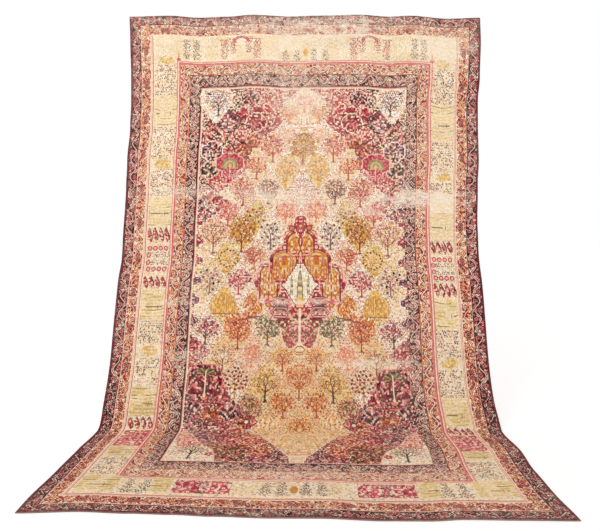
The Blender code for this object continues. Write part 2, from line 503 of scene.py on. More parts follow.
def vine(guard):
    """A guard's knots: small patches and curling tendrils under a waving stem with its flowers.

    Flowers sit at each crest of the stem on the opposite side, and leaves are short ellipses
    on both sides of it.
    """
    mask, run, off, width = band_knots(guard.band)
    cells = np.zeros(run.shape, dtype=np.uint8)
    mosaic(cells, run, off, True, GUARD_PATCH, guard.patches, guard.seed)
    thin, tendril = guard.tendrils
    cells[tendrils(run, off + 0.3 * guard.seed, TENDRIL, guard.seed + 20) < thin] = tendril
    phase = 2.0 * np.pi * run / guard.period
    path = guard.swing * width * np.cos(phase)
    slope = guard.swing * width * 2.0 * np.pi / guard.period * np.sin(phase)
    beside = (off - path) / np.sqrt(1.0 + slope ** 2)
    bud = np.round(run / (guard.period / 6.0))
    along = run - bud * guard.period / 6.0
    half_long, half_wide, apart = VINE_LEAF
    on_leaf = (along / half_long) ** 2 + ((np.abs(beside) - apart) / half_wide) ** 2 <= 1.0
    lay(cells, on_leaf, pick(guard.leaves, bud, np.sign(beside) + 2, guard.seed))
    stem, dye = guard.stem
    cells[np.abs(beside) <= 0.5 * stem + STEM_EDGE] = tendril
    cells[np.abs(beside) <= 0.5 * stem] = dye
    bend = np.round(run / (guard.period / 2.0))
    along = run - bend * guard.period / 2.0
    aside = off - np.where(bend % 2 == 0, -1.0, 1.0) * 0.2 * width
    away = np.hypot(along, aside) / (0.82 + 0.18 * np.cos(6 * np.arctan2(aside, along)))
    for radius, dye in guard.petals:
        cells[away <= radius] = dye
    return mask, cells, run, off, width


def paired_flowers(cells, run, off):
    """Plum flowers with a rose ring and a black heart, two side by side."""
    along = run - np.round(run / PAIR_PITCH) * PAIR_PITCH
    away = np.minimum(np.hypot(along - 0.017, off), np.hypot(along + 0.017, off))
    for radius, dye in ((0.017, PLUM), (0.011, ROSE), (0.006, BLACK)):
        cells[away <= radius] = dye


for guard in GUARDS:
    mask, cells, run, off, width = vine(guard)
    if guard.low:
        low = knot_y[np.nonzero(mask)[0]] > guard.low.below
        sow(cells, run, off, low, 0.015, guard.low.size, guard.low.dyes, guard.seed + 1,
            guard.low.share)
    if guard.band == "outer orange guard":
        paired_flowers(cells, run, off)
    outer, inner = guard.lines
    cells[off <= -0.5 * width + GUARD_LINE] = outer
    cells[off >= 0.5 * width - GUARD_LINE] = inner
    chart[mask] = cells

# Plain lines between the guards, from outside in, and the plum edge of the rug.
LINES = {
    "edge": (PLUM,),
    "crimson lines": (IVORY, ROSE, IVORY, DEEP_ROSE, IVORY),
    "pink lines": (ROSE, BLUSH, IVORY, DEEP_ROSE, ROSE),
    "field lines": (AUBERGINE, ROSE, BLUSH, IVORY),
}
for band, dyes in LINES.items():
    mask, run, off, width = band_knots(band)
    number = np.clip((off / width + 0.5) * len(dyes), 0, len(dyes) - 1).astype(int)
    chart[mask] = np.asarray(dyes)[number]

# ========================================================================== main border
# A wide cream band with a garden in it: grey-violet sprigs, gold and khaki furrows, rows of
# red leaves and pink flowers, and gold clumps where the plots meet.

# Plots down each side border, by their start and end below the top edge of the rug.
Plot = namedtuple("Plot", "kind left_from left_to right_from right_to")
SIDE_PLOTS = (
    Plot("sprigs", 0.41, 0.67, 0.42, 0.72),
    Plot("furrows", 0.68, 0.93, 0.73, 1.02),
    Plot("sprigs", 0.94, 1.20, 1.03, 1.28),
    Plot("sprigs", 1.29, 1.52, 1.37, 1.46),
    Plot("furrows", 1.53, 1.77, 1.62, 1.83),
    Plot("leaves", 1.78, 1.92, 1.85, 1.97),
    Plot("flowers", 1.93, 2.18, 1.98, 2.20),
    Plot("leaves", 2.19, 2.30, 2.20, 2.32),
    Plot("furrows", 2.31, 2.54, 2.33, 2.56),
    Plot("sprigs", 2.55, 2.74, 2.57, 2.78),
    Plot("sprigs", 2.84, 3.04, 2.87, 3.07),
    Plot("furrows", 3.05, 3.27, 3.08, 3.28),
    Plot("leaves", 3.27, 3.37, 3.29, 3.40),
    Plot("blooms", 3.38, 3.63, 3.40, 3.65),
    Plot("furrows", 3.64, 3.78, 3.66, 3.78),
    Plot("sprigs", 3.79, 4.02, 3.80, 4.00),
)
SIDE_MIDDLE = (-1.163, 1.153)
SIDE_WIDTH = 0.185
FURROW = 0.0250            # pitch of the furrows
LEAF_PITCH = 0.046         # from one upright leaf to the next


def sprigs(cells, x, y, middle, seed):
    """Clusters of small dark, grey-violet and olive leaves, loosely in level rows."""
    sow(cells, x, y, True, 0.0155, 0.012, (BLUSH, IVORY, LILAC, WHITE, STRAW, ROSE), seed + 5, 0.6)
    thick = drift(x, y * 1.8, 0.042, seed + 4) > 0.36
    sow(cells, x, y, thick, 0.016, 0.0142, (GREY, VIOLET, BLACK, OLIVE, DUSK, BLACK, PLUM),
        seed + 6, 0.58)
    sow(cells, x, y, True, 0.02, 0.012, (BLACK, DUSK, VIOLET, OLIVE, ROSE), seed + 9, 0.38)


def furrows(cells, x, y, middle, seed):
    """Level furrows of gold and straw, bowed at their ends, with one thin hedge across them."""
    bowed = y + 1.2 * (x - middle) ** 2 + 0.01 * drift(x, y, 0.05, seed)
    line = np.round(bowed / FURROW)
    near = np.abs(bowed - line * FURROW)
    broken = drift(x * 0.35, y, 0.016, seed + 5)
    pale = drift(x, y, 0.07, seed + 3) + 0.15 * (y.mean() - 3.0) < 0.6
    cells[...] = np.where(pale, CREAM, STRAW)
    lay(cells, (near < 0.005) & (broken > 0.3), np.where(pale, STRAW, KHAKI))
    cells[(near < 0.0026) & (chance(line, line, seed + 2) < 0.25) & (broken > 0.48)] = OLIVE
    sow(cells, x * 0.5, y, np.abs(x - middle) < 0.5 * SIDE_WIDTH, 0.017, 0.009,
        (STRAW, WHITE, CREAM, GREY), seed, 0.5)
    hedge = y.mean() + 0.02
    cells[(np.abs(y - hedge) < 0.0042) & (np.abs(x - middle) < 0.075) & (broken > 0.42)] = OLIVE
    cells[(np.abs(y - hedge) < 0.015) & (np.abs(x - middle - 0.04) < 0.0032)] = VIOLET


def leaf_row(cells, x, y, middle, seed):
    """Four upright leaves that lean into an S, mottled red with a dark edge on one side."""
    v = (y - y.mean()) / (0.5 * np.ptp(y))
    column = np.clip(np.round((x - middle) / LEAF_PITCH - 0.5), -2, 1)
    u = (x - middle - (column + 0.5) * LEAF_PITCH) / 0.0215 - 0.45 * np.sin(2.2 * v)
    shape = np.abs(u) + v * v
    sow(cells, x, y, True, 0.016, 0.011, (BLUSH, SAGE, ROSE, LILAC), seed + 2, 0.5)
    mosaic(cells, x, y, shape <= 1.0, 0.012,
           (CRIMSON, RUST, ROSE, CRIMSON, BLUSH, DEEP_ROSE, IVORY), seed + 1)
    edge = np.asarray((OLIVE, PLUM, DUSK, DARK_CRIMSON))[(column + 2).astype(int)]
    lay(cells, (shape <= 1.0) & (shape > 0.52) & (u > 0.0) & (v < 0.6), edge)


def ring_flowers(cells, x, y, left, right, level, pitch):
    """A row of open pink rings with ivory hearts."""
    column = np.clip(np.round((x - left) / pitch), 0, round((right - left) / pitch))
    away = np.hypot(x - left - column * pitch, (y - level) * 0.92)
    for radius, dye in ((0.0185, DEEP_ROSE), (0.015, PINK), (0.0085, IVORY), (0.0035, CRIMSON)):
        cells[away < radius] = dye


def flower_rows(cells, x, y, middle, seed):
    """Two rows of ring-shaped pink flowers, and dark and grey-green leaves between them."""
    top = y.min()
    deep = np.ptp(y)
    sow(cells, x, y, True, 0.015, 0.012, (ROSE, BLUSH, GREY, WHITE, LILAC, SAGE), seed + 1, 0.75)
    for share in (0.34, 0.62):
        thicket = np.abs(y - top - share * deep) < 0.075 * deep
        sow(cells, x, y, thicket, 0.016, 0.013, (BLACK, OLIVE, DUSK, VIOLET, MOSS), seed, 0.8)
    for share in (0.13, 0.83):
        ring_flowers(cells, x, y, middle - 0.065, middle + 0.065, top + share * deep, 0.043)
    for share in (0.36, 0.6):
        ring_flowers(cells, x, y, middle - 0.074, middle - 0.074, top + share * deep, 0.043)


def bloom_bed(cells, x, y, middle, seed):
    """A bed crowded with pink and crimson flowers among a few grey-green leaves."""
    mosaic(cells, x, y, True, 0.015,
           (ROSE, BLUSH, DEEP_ROSE, IVORY, CRIMSON, ROSE, SAGE, BLUSH, PINK), seed)
    for level in np.arange(y.min() + 0.03, y.max(), 0.062):
        ring_flowers(cells, x, y, middle - 0.066, middle + 0.066, level, 0.066)


PLOT_DRAWERS = {"sprigs": sprigs, "furrows": furrows, "leaves": leaf_row, "flowers": flower_rows,
                "blooms": bloom_bed}

mask, run, off, width = band_knots("main border")
cells = np.where(drift(run, off, 0.05, 3) > 0.55, IVORY, CREAM)
cells[specks(run, off, 4) < 0.08 * (knot_y[np.nonzero(mask)[0]] - 2.7)] = GREY
leafy = run > 0            # all of both sides, and the right half of both ends
sow(cells, run, off, leafy, 0.015, 0.011, (WHITE, IVORY, STRAW, BLUSH, CREAM, IVORY), 5, 0.6)
chart[mask] = cells
for seed, plot in enumerate(SIDE_PLOTS):
    spans = ((plot.left_from, plot.left_to), (plot.right_from, plot.right_to))
    for middle, (top, foot) in zip(SIDE_MIDDLE, spans):
        cells, x, y = patch(middle - 0.5 * SIDE_WIDTH, middle + 0.5 * SIDE_WIDTH, top, foot)
        PLOT_DRAWERS[plot.kind](cells, x, y, middle, seed * 2 + int(middle > 0))

# Gold clumps between the plots.
Clump = namedtuple("Clump", "x y wide tall")
CLUMPS = (
    Clump(-1.170, 0.375, 0.13, 0.065), Clump(1.140, 0.380, 0.13, 0.065),
    Clump(-1.160, 1.250, 0.13, 0.085), Clump(1.170, 1.325, 0.12, 0.070),
    Clump(-1.165, 2.790, 0.12, 0.080), Clump(1.150, 2.820, 0.13, 0.080),
)
for clump in CLUMPS:
    cells, x, y = patch(clump.x - 0.08, clump.x + 0.08, clump.y - 0.06, clump.y + 0.06)
    away = (2 * (x - clump.x) / clump.wide) ** 2 + (2 * (y - clump.y) / clump.tall) ** 2
    away += 0.9 * (drift(x, y, 0.025, 60) - 0.5)
    mosaic(cells, x, y, away < 1.0, 0.012, (GOLD, STRAW, CREAM, KHAKI, GOLD, STRAW), 61)
    sow(cells, x, y, (away < 1.4) & (away > 0.6), 0.016, 0.01, (KHAKI, STRAW, SAGE, OCHRE), 62, 0.55)

# Plants that stand in the two end borders; each row is drawn at +x and at -x.  Wide is the half
# width at the top and at the foot.
Stand = namedtuple("Stand", "kind x top foot wide_top wide_foot")
STANDS = (
    Stand("red", 0.672, 0.19, 0.36, 0.034, 0.026),
    Stand("red", 0.600, 0.18, 0.31, 0.030, 0.022),
    Stand("red", 0.470, 0.18, 0.31, 0.030, 0.022),
    Stand("red", 0.402, 0.19, 0.36, 0.036, 0.026),
    Stand("grey", 0.985, 0.19, 0.36, 0.030, 0.024),
    Stand("grey", 0.905, 0.19, 0.36, 0.024, 0.030),
    Stand("grey", 0.165, 0.28, 0.37, 0.016, 0.030),
    Stand("grey", 0.070, 0.28, 0.37, 0.016, 0.030),
    Stand("dark", 0.955, 4.07, 4.22, 0.016, 0.040),
    Stand("dark", 0.862, 4.07, 4.22, 0.016, 0.040),
    Stand("dark", 0.160, 4.07, 4.21, 0.018, 0.036),
    Stand("dark", 0.068, 4.07, 4.21, 0.018, 0.036),
)
STAND_DYES = {
    "red": (DEEP_ROSE, CRIMSON, ROSE, PINK, CRIMSON, DARK_CRIMSON),
    "grey": (DUSK, VIOLET, BLACK, NAVY, GREY, OLIVE),
    "dark": (BLACK, DUSK, PLUM, BLACK, VIOLET, OLIVE),
}


def stand(row, side):
    """An upright plant: a broken stem in a tall column of small drooping leaves."""
    middle = side * row.x
    reach = max(row.wide_top, row.wide_foot) + 0.01
    cells, x, y = patch(middle - reach, middle + reach, row.top, row.foot)
    share = (y - row.top) / (row.foot - row.top)
    half = row.wide_top + (row.wide_foot - row.wide_top) * share + 0.007 * np.sin(26.0 * share)
    fallen = y - 0.5 * np.abs(x - middle)
    sow(cells, x, fallen, np.abs(x - middle) < half, 0.015, 0.0148, STAND_DYES[row.kind],
        int(row.x * 100), 0.95)


def arch_of_rosettes(middle):
    """Nine small rosettes in a low arch that joins a pair of red plants."""
    for bow in np.linspace(0.0, np.pi, 9):
        rosette(middle + 0.058 * np.cos(bow), 0.212 - 0.034 * np.sin(bow), 0.026, 5,
                ((1.0, CRIMSON), (0.6, PINK), (0.3, IVORY)))


for row in STANDS:
    for side in (-1, 1):
        stand(row, side)

# On each side of the middle, the front border has a crowded bed of ring flowers, a patch of
# short gold strokes and two plots of furrows.  The top border has an arch, an orange stem with a
# pink flower and a patch of short straw strokes.
for side in (-1, 1):
    middle = side * 0.525
    cells, x, y = patch(middle - 0.165, middle + 0.165, 4.072, 4.215)
    mosaic(cells, x, y, True, 0.0145,
           (DEEP_ROSE, BLUSH, CRIMSON, IVORY, PINK, ROSE, DARK_CRIMSON, BLUSH), 65)
    for ring in (side * 0.43, side * 0.625):
        for level in (4.1, 4.15, 4.2):
            ring_flowers(cells, x, y, ring - 0.03, ring + 0.03, level, 0.06)
    sow(cells, x, y, np.abs(x - middle) < 0.03, 0.015, 0.014,
        (VIOLET, GREY, DUSK, LILAC, BLACK), 66, 0.95)
    cells, x, y = patch(side * 0.275 - 0.075, side * 0.275 + 0.075, 4.075, 4.215)
    sow(cells, x * 1.6, y * 0.5, True, 0.024, 0.015, (STRAW, GOLD, KHAKI, STRAW), 67, 0.7, 0.5)
    for middle, half_wide in ((side * 1.14, 0.11), (side * 0.765, 0.058)):
        cells, x, y = patch(middle - half_wide, middle + half_wide, 4.04, 4.208)
        furrows(cells, x, y, middle, 69)
    arch_of_rosettes(side * 0.535)
    stroke(((side * 1.052, 0.295), (side * 1.056, 0.36)), 0.0075, ORANGE)
    disc(side * 1.055, 0.365, 0.036, 0.028, PINK)
    cells, x, y = patch(side * 0.8 - 0.09, side * 0.8 + 0.09, 0.18, 0.365)
    sow(cells, x * 1.6, y * 0.4, True, 0.026, 0.013, (STRAW, KHAKI, GREY), 68, 0.6, 0.4)

# The gold heart of each end border.
disc(0.0, 0.3, 0.04, 0.06, GOLD)
disc(0.0, 4.15, 0.046, 0.08, OCHRE)

# ================================================================================ field
# The garden inside the borders: a pale lozenge of lobed plots, each with its own tree, on
# dark crimson and plum spandrels, with an ivory corner at each end of both spandrels.  The
# weaver mirrors the left half, so the chart is drawn for x below 0 and copied across.

FIELD_LEFT = -RUG_WIDTH / 2 + BANDS[-1].left
FIELD_TOP = BANDS[-1].top
FIELD_FOOT = RUG_LENGTH - BANDS[-1].bottom

# The lozenge's edge.  Each row of an outline is (y, half width), from its top down.
LOZENGE = (
    (0.64, 0.03), (0.72, 0.11), (0.8, 0.17), (0.9, 0.25), (1.00, 0.32), (1.08, 0.37),
    (1.18, 0.42), (1.3, 0.5), (1.42, 0.6), (1.55, 0.65), (1.68, 0.72), (1.8, 0.8),
    (1.92, 0.87), (2.5, 0.87), (2.7, 0.79), (2.87, 0.69), (3.00, 0.57), (3.1, 0.49),
    (3.2, 0.43), (3.33, 0.32), (3.43, 0.275), (3.49, 0.235), (3.55, 0.19), (3.605, 0.15),
    (3.66, 0.12), (3.7, 0.095), (3.755, 0.06), (3.83, 0.045),
)


def reach_at(rows, y, beyond=0.0):
    """Half width of an outline at each y, straight between its rows and beyond past its ends."""
    stations, halves = zip(*rows)
    return np.interp(y, stations, halves, beyond, beyond)


def plots(x, y, half_wide, half_tall, lobes):
    """Lobed lozenge plots that fill the ground in staggered rows.

    Each knot belongs to the centre with the least |dx|/half_wide + |dy|/half_tall, plus a
    ripple that gives the edge its lobes.  Returns the centre and how far inside the edge.
    """
    best = np.full(x.shape, 9.0)
    second = np.full(x.shape, 9.0)
    centre_x = np.zeros_like(x)
    centre_y = np.zeros_like(y)
    row = np.round(y / half_tall)
    column = np.round(x / half_wide)
    for i in (-2, -1, 0, 1, 2):
        for j in (-2, -1, 0, 1, 2):
            across = column + i
            down = row + j
            wanted = (across + down) % 2 == 0
            dx = x - across * half_wide
            dy = y - down * half_tall
            away = np.abs(dx) / half_wide + np.abs(dy) / half_tall
            away = away + lobes * np.cos(10 * np.arctan2(dy / half_tall, dx / half_wide))
            away = np.where(wanted, away, 9.0)
            closer = away < best
            second = np.where(closer, best, np.minimum(second, away))
            centre_x = np.where(closer, across * half_wide, centre_x)
            centre_y = np.where(closer, down * half_tall, centre_y)
            best = np.where(closer, away, best)
    return centre_x, centre_y, second - best


# ---- spandrels: small lobed plots of tiny flowers, in black, plum, crimson and rose
SPANDREL_PLOT = (0.098, 0.082)     # half width and half height
STEP = 3 * KNOT                    # outlines climb in steps of three knots
PALE_LINE = 0.13                   # shares of a plot's reach: its pale outline ends here
DARK_LINE = 0.28                   # and the darker line inside it here
cells, x, y = patch(FIELD_LEFT, 0.0, FIELD_TOP, FIELD_FOOT)
stepped_x = np.round(x / STEP) * STEP
stepped_y = np.round(y / STEP) * STEP
bent_x = stepped_x + 0.026 * (drift(x, y, 0.13, 81) - 0.5)
bent_y = stepped_y + 0.026 * (drift(x, y, 0.13, 82) - 0.5)
plot_x, plot_y, inside = plots(bent_x, bent_y, *SPANDREL_PLOT, 0.1)
number_x = np.round(plot_x / SPANDREL_PLOT[0])
number_y = np.round(plot_y / SPANDREL_PLOT[1])
NIGHT, DEEP, DUSKY, BONE, RED, ROSY, FIRE, WOOD = range(8)
FAMILIES = (
    (BLACK, BLUSH, PLUM, IVORY, BLACK, ROSE, PLUM, LILAC, BLACK, ROSE),
    (NAVY, IVORY, BLACK, BLUSH, TEAL, APRICOT, NAVY, ROSE, BLACK, OLIVE),
    (PLUM, LILAC, DUSK, BLUSH, PLUM, DEEP_ROSE, VIOLET, BLACK, ROSE, IVORY),
    (IVORY, PLUM, BLUSH, BLACK, STRAW, ROSE, IVORY, PLUM, BLUSH, DEEP_ROSE),
    (CRIMSON, BLUSH, DARK_CRIMSON, ROSE, CRIMSON, IVORY, DEEP_ROSE, CRIMSON, ROSE, PLUM),
    (ROSE, IVORY, DEEP_ROSE, BLUSH, CRIMSON, ROSE, BLUSH, DEEP_ROSE, IVORY, RUST),
    (RUST, BLUSH, CRIMSON, SALMON, DARK_CRIMSON, APRICOT, RUST, ROSE, BROWN, ORANGE),
    (BLACK, ROSE, MOSS, BLUSH, BROWN, OLIVE, BLACK, SALMON, MOSS, CRIMSON),
)
# Which family grows where on the left half: a plot takes the one whose middle is nearest.
BEDS = {
    NIGHT: ((-0.50, 0.65), (-0.78, 1.13), (-0.68, 1.12), (-0.84, 1.50), (-0.82, 3.00),
            (-0.82, 3.14), (-0.52, 3.18), (-0.74, 3.24)),
    DEEP: ((-0.52, 0.80),),
    DUSKY: ((-0.42, 0.74), (-0.62, 0.90), (-0.83, 1.24), (-0.83, 1.38), (-0.84, 1.62),
            (-0.84, 2.62), (-0.70, 3.38), (-0.66, 3.48), (-0.56, 3.46), (-0.16, 3.76),
            (-0.86, 3.50)),
    BONE: ((-0.60, 0.72), (-0.75, 0.96), (-0.66, 1.04), (-0.82, 1.04), (-0.75, 1.30),
           (-0.80, 3.34)),
    RED: ((-0.38, 0.84), (-0.44, 0.95), (-0.33, 0.95), (-0.55, 1.12), (-0.74, 1.53), (-0.80, 1.72),
          (-0.80, 2.72), (-0.74, 2.90), (-0.66, 3.02), (-0.58, 3.10), (-0.60, 3.27), (-0.44, 3.38)),
    ROSY: ((-0.32, 0.65), (-0.20, 0.68), (-0.04, 0.63), (-0.52, 1.03), (-0.42, 1.08), (-0.70, 1.42),
           (-0.82, 2.84), (-0.86, 3.66)),
    FIRE: ((-0.47, 1.20), (-0.66, 3.16), (-0.48, 3.28), (-0.40, 3.50), (-0.36, 3.62), (-0.27, 3.66),
           (-0.28, 3.76)),
    WOOD: ((-0.60, 3.58), (-0.50, 3.62), (-0.42, 3.72), (-0.55, 3.80)),
}
nearest = np.full(x.shape, 9.0)
family = np.zeros(x.shape, dtype=int)
for number, beds in BEDS.items():
    for bed_x, bed_y in beds:
        away = np.hypot(plot_x - bed_x, plot_y - bed_y)
        family = np.where(away < nearest, number, family)
        nearest = np.minimum(nearest, away)
mosaic(cells, x, y, True, 0.0122, FAMILIES, 71, family)
sow(cells, x, y, True, 0.02, 0.012, (BLACK, IVORY, DARK_CRIMSON, BLUSH, PLUM), 72, 0.35)
sow(cells, x, y, y > 2.6, 0.017, 0.013, (DARK_CRIMSON, BLACK, CRIMSON, BROWN, PLUM), 78, 0.68)
sow(cells, x, y, (y > 2.95) & (y < 3.56) & (x < -0.58), 0.018, 0.014,
    (BLACK, DARK_CRIMSON, PLUM), 79, 0.95)
has_oval = chance(number_x, number_y, 8) < 0.3
for wide, tall, dye in ((0.024, 0.02, DARK_CRIMSON), (0.014, 0.012, IVORY)):
    oval = ((x - plot_x) / wide) ** 2 + ((y - plot_y) / tall) ** 2
    cells[(oval < 1.0) & has_oval] = dye
is_red = (family >= RED) & (family <= FIRE)
lay(cells, (inside < DARK_LINE) & (inside > PALE_LINE), np.where(is_red, CRIMSON, BLACK))
lay(cells, inside < PALE_LINE, pick((IVORY, BLUSH, ROSE, IVORY, BLUSH), number_x, number_y, 9))

# ---- lozenge: every plant stands in a pale plot of its own, with small florets round it
# Each ground has the dyes of its small patches, of its florets and of its darker leaves.
GROUND_DYES = {
    "bleached": ((IVORY, WHITE, IVORY, CREAM), (BLUSH, LILAC, ROSE, STRAW, SALMON),
                 (DEEP_ROSE, CRIMSON, OLIVE)),
    "pale": ((IVORY, CREAM, IVORY, STRAW), (STRAW, BLUSH, SALMON, ROSE, APRICOT),
             (OLIVE, DEEP_ROSE, RUST)),
    "rosy": ((IVORY, CREAM, BLUSH, CREAM), (ROSE, SALMON, BLUSH, STRAW, DEEP_ROSE),
             (CRIMSON, DEEP_ROSE, RUST)),
    "golden": ((STRAW, CREAM, GOLD, STRAW), (GOLD, OCHRE, STRAW, IVORY, APRICOT),
               (OLIVE, RUST, BROWN)),
    "peach": ((CREAM, APRICOT, CREAM, STRAW), (SALMON, ORANGE, GOLD, STRAW, IVORY),
              (RUST, CRIMSON, OCHRE)),
    "tawny": ((APRICOT, STRAW, CREAM, APRICOT), (OCHRE, SALMON, GOLD, IVORY, SALMON),
              (BROWN, RUST, OLIVE)),
}
GROUND_NAMES = list(GROUND_DYES)

# Every plant of the left half: x from the middle, its top and foot, its width, the ground of its
# plot, the dye of its trunk or pot, and the dyes of its leaves.
Plant = namedtuple("Plant", "kind x top foot wide ground trunk dyes")
PLANTS = (
    Plant("bush", 0.000, 0.64, 0.80, 0.15, "bleached", ROSE, (BLUSH, ROSE, IVORY)),
    Plant("bush", 0.125, 0.74, 0.90, 0.16, "pale", SALMON, (SAGE, STRAW, SALMON, BLUSH)),
    Plant("bush", 0.130, 0.92, 1.08, 0.14, "bleached", BLUSH, (BLUSH, STRAW, IVORY, ROSE)),
    Plant("bush", 0.000, 0.97, 1.23, 0.26, "golden", CRIMSON, (OCHRE, GOLD, OLIVE, OCHRE, RUST, KHAKI)),
    Plant("bush", 0.250, 0.98, 1.22, 0.20, "pale", CRIMSON, (ROSE, DEEP_ROSE, BLUSH, CRIMSON, SALMON)),
    Plant("bush", 0.128, 1.18, 1.37, 0.18, "golden", OCHRE, (STRAW, OLIVE, SALMON, GOLD, BLUSH)),
    Plant("bush", 0.380, 1.17, 1.37, 0.18, "pale", RUST, (SALMON, ROSE, RUST, BLUSH, APRICOT)),
    Plant("bush", 0.275, 1.36, 1.57, 0.19, "pale", DUSK, (VIOLET, DUSK, OLIVE, GREY, ROSE, PLUM)),
    Plant("burst", 0.000, 1.34, 1.57, 0.23, "bleached", ROSE, (VIOLET, DEEP_ROSE, LILAC, ROSE)),
    Plant("bush", 0.485, 1.36, 1.59, 0.21, "rosy", CRIMSON, (SALMON, ROSE, SAGE, DEEP_ROSE, BLUSH)),
    Plant("bush", 0.128, 1.55, 1.72, 0.17, "rosy", SALMON, (ROSE, BLUSH, SALMON, DEEP_ROSE)),
    Plant("vase", 0.372, 1.57, 1.80, 0.18, "golden", OLIVE, (OLIVE, OCHRE, CRIMSON, MOSS, BLACK)),
    Plant("bush", 0.600, 1.56, 1.76, 0.17, "rosy", DEEP_ROSE, (ROSE, SALMON, DEEP_ROSE, BLUSH)),
    Plant("vase", 0.245, 1.68, 1.95, 0.19, "bleached", CRIMSON, (PLUM, DUSK, NAVY, CRIMSON, MOSS)),
    Plant("bush", 0.485, 1.67, 1.98, 0.24, "golden", CRIMSON, (OCHRE, OLIVE, BROWN, GOLD, ORANGE, OCHRE)),
    Plant("bare", 0.715, 1.70, 1.99, 0.25, "pale", DARK_CRIMSON, (DEEP_ROSE, ROSE, CRIMSON, SALMON)),
    Plant("bush", 0.375, 1.92, 2.12, 0.18, "rosy", RUST, (ROSE, SALMON, RUST, DEEP_ROSE, SAGE)),
    Plant("wreath", 0.585, 1.93, 2.13, 0.21, "golden", STRAW, (MOSS, PLUM, BLACK, DUSK)),
    Plant("vase", 0.720, 2.07, 2.32, 0.20, "pale", PLUM, (PLUM, VIOLET, DEEP_ROSE, BLACK)),
    Plant("bush", 0.490, 2.12, 2.33, 0.20, "bleached", DEEP_ROSE, (ROSE, PLUM, BLUSH, VIOLET, PINK)),
    Plant("heap", 0.600, 2.31, 2.48, 0.22, "golden", RUST, (GOLD, STRAW, GOLD, APRICOT, OCHRE)),
    Plant("flame", 0.368, 2.32, 2.50, 0.16, "pale", DUSK, (ORANGE, RUST, GOLD)),
    Plant("bush", 0.730, 2.50, 2.72, 0.20, "bleached", DUSK, (PINK, DEEP_ROSE, MOSS, TEAL, BLUSH, CRIMSON)),
    Plant("bush", 0.480, 2.47, 2.75, 0.23, "peach", CRIMSON, (RUST, ORANGE, CRIMSON, OCHRE, SALMON)),
    Plant("bush", 0.250, 2.47, 2.71, 0.21, "pale", MOSS, (OLIVE, MOSS, GREY, SAGE, DUSK)),
    Plant("bush", 0.370, 2.70, 2.88, 0.17, "rosy", SALMON, (SALMON, BLUSH, ROSE, ORANGE)),
    Plant("bush", 0.130, 2.72, 2.90, 0.17, "peach", RUST, (SALMON, STRAW, RUST, GOLD)),
    Plant("bare", 0.590, 2.72, 2.94, 0.19, "peach", DARK_CRIMSON, (SALMON, ROSE, RUST, OLIVE)),
    Plant("bush", 0.000, 2.84, 3.10, 0.22, "tawny", RUST, (SALMON, KHAKI, APRICOT, RUST, ORANGE)),
    Plant("berries", 0.485, 2.88, 3.12, 0.21, "bleached", OCHRE, (CRIMSON, DARK_CRIMSON, PLUM)),
    Plant("bare", 0.255, 2.88, 3.13, 0.22, "golden", BLACK, (OCHRE, GOLD, ORANGE, RUST)),
    Plant("bush", 0.125, 3.05, 3.24, 0.18, "tawny", RUST, (RUST, GOLD, ORANGE, BROWN, SALMON)),
    Plant("bush", 0.370, 3.08, 3.31, 0.20, "golden", CRIMSON, (OLIVE, DUSK, MOSS, GREY, ROSE)),
    Plant("bush", 0.000, 3.22, 3.42, 0.18, "tawny", RUST, (OCHRE, GOLD, ORANGE, STRAW, RUST)),
    Plant("fan", 0.250, 3.24, 3.42, 0.20, "tawny", OCHRE, (APRICOT, IVORY, RUST, GOLD)),
)
GARDEN_PLOT = (0.1215, 0.19)      # half width and half height
nearest = np.full(x.shape, 9.0)
second = np.full(x.shape, 9.0)
ground = np.zeros(x.shape, dtype=int)
for plant in PLANTS:
    dx = (bent_x + plant.x) / GARDEN_PLOT[0]
    dy = (bent_y - 0.5 * (plant.top + plant.foot)) / GARDEN_PLOT[1]
    away = np.abs(dx) + np.abs(dy) + 0.05 * np.cos(10 * np.arctan2(dy, dx))
    second = np.where(away < nearest, nearest, np.minimum(second, away))
    ground = np.where(away < nearest, GROUND_NAMES.index(plant.ground), ground)
    nearest = np.minimum(nearest, away)
margin = second - nearest
# Down to FINE_EDGE the lozenge's edge follows whole spandrel plots, and below it fine steps.
FINE_EDGE = 3.36
in_lozenge = np.abs(plot_x) * 0.92 + np.abs(x) * 0.08 < reach_at(LOZENGE, plot_y * 0.92 + y * 0.08)
in_lozenge = np.where(y < FINE_EDGE, in_lozenge, np.abs(stepped_x) < reach_at(LOZENGE, stepped_y))
grounds, florets, darks = zip(*GROUND_DYES.values())
mosaic(cells, x, y, in_lozenge, 0.016, grounds, 73, ground)
sow(cells, x, y, in_lozenge, 0.015, 0.013, florets, 75, 0.56, 0.62, ground)
sparse = in_lozenge & (drift(x, y, 0.05, 84) < 0.45 + 0.1 * y)
sow(cells, x, y, sparse, 0.018, 0.0125, darks, 76, 0.52, 0.62, ground)

# A white line, cream low down, runs round each plot.  Inside it is a dotted one: rust on the
# golden, peach and tawny grounds and deep rose on the others.
WHITE_LINE = 0.075
outlined = in_lozenge & (nearest < 1.12)
dotted = outlined & (margin < 2 * WHITE_LINE) & (np.round((x + y) / STEP) % 2 == 0)
is_golden = ground >= GROUND_NAMES.index("golden")
lay(cells, dotted, np.where(is_golden, RUST, DEEP_ROSE))
lay(cells, outlined & (margin < WHITE_LINE), np.where(y > 2.62, CREAM, WHITE))

# A white and a crimson line follow the lozenge's stepped edge.
edge = np.zeros(x.shape, bool)
edge[:, 2:-2] |= in_lozenge[:, 4:] != in_lozenge[:, :-4]
edge[2:-2, :] |= in_lozenge[4:, :] != in_lozenge[:-4, :]
edge &= (y > FIELD_TOP + 0.02) & (x > FIELD_LEFT + 0.02)
lay(cells, edge, np.where(in_lozenge, WHITE, CRIMSON))


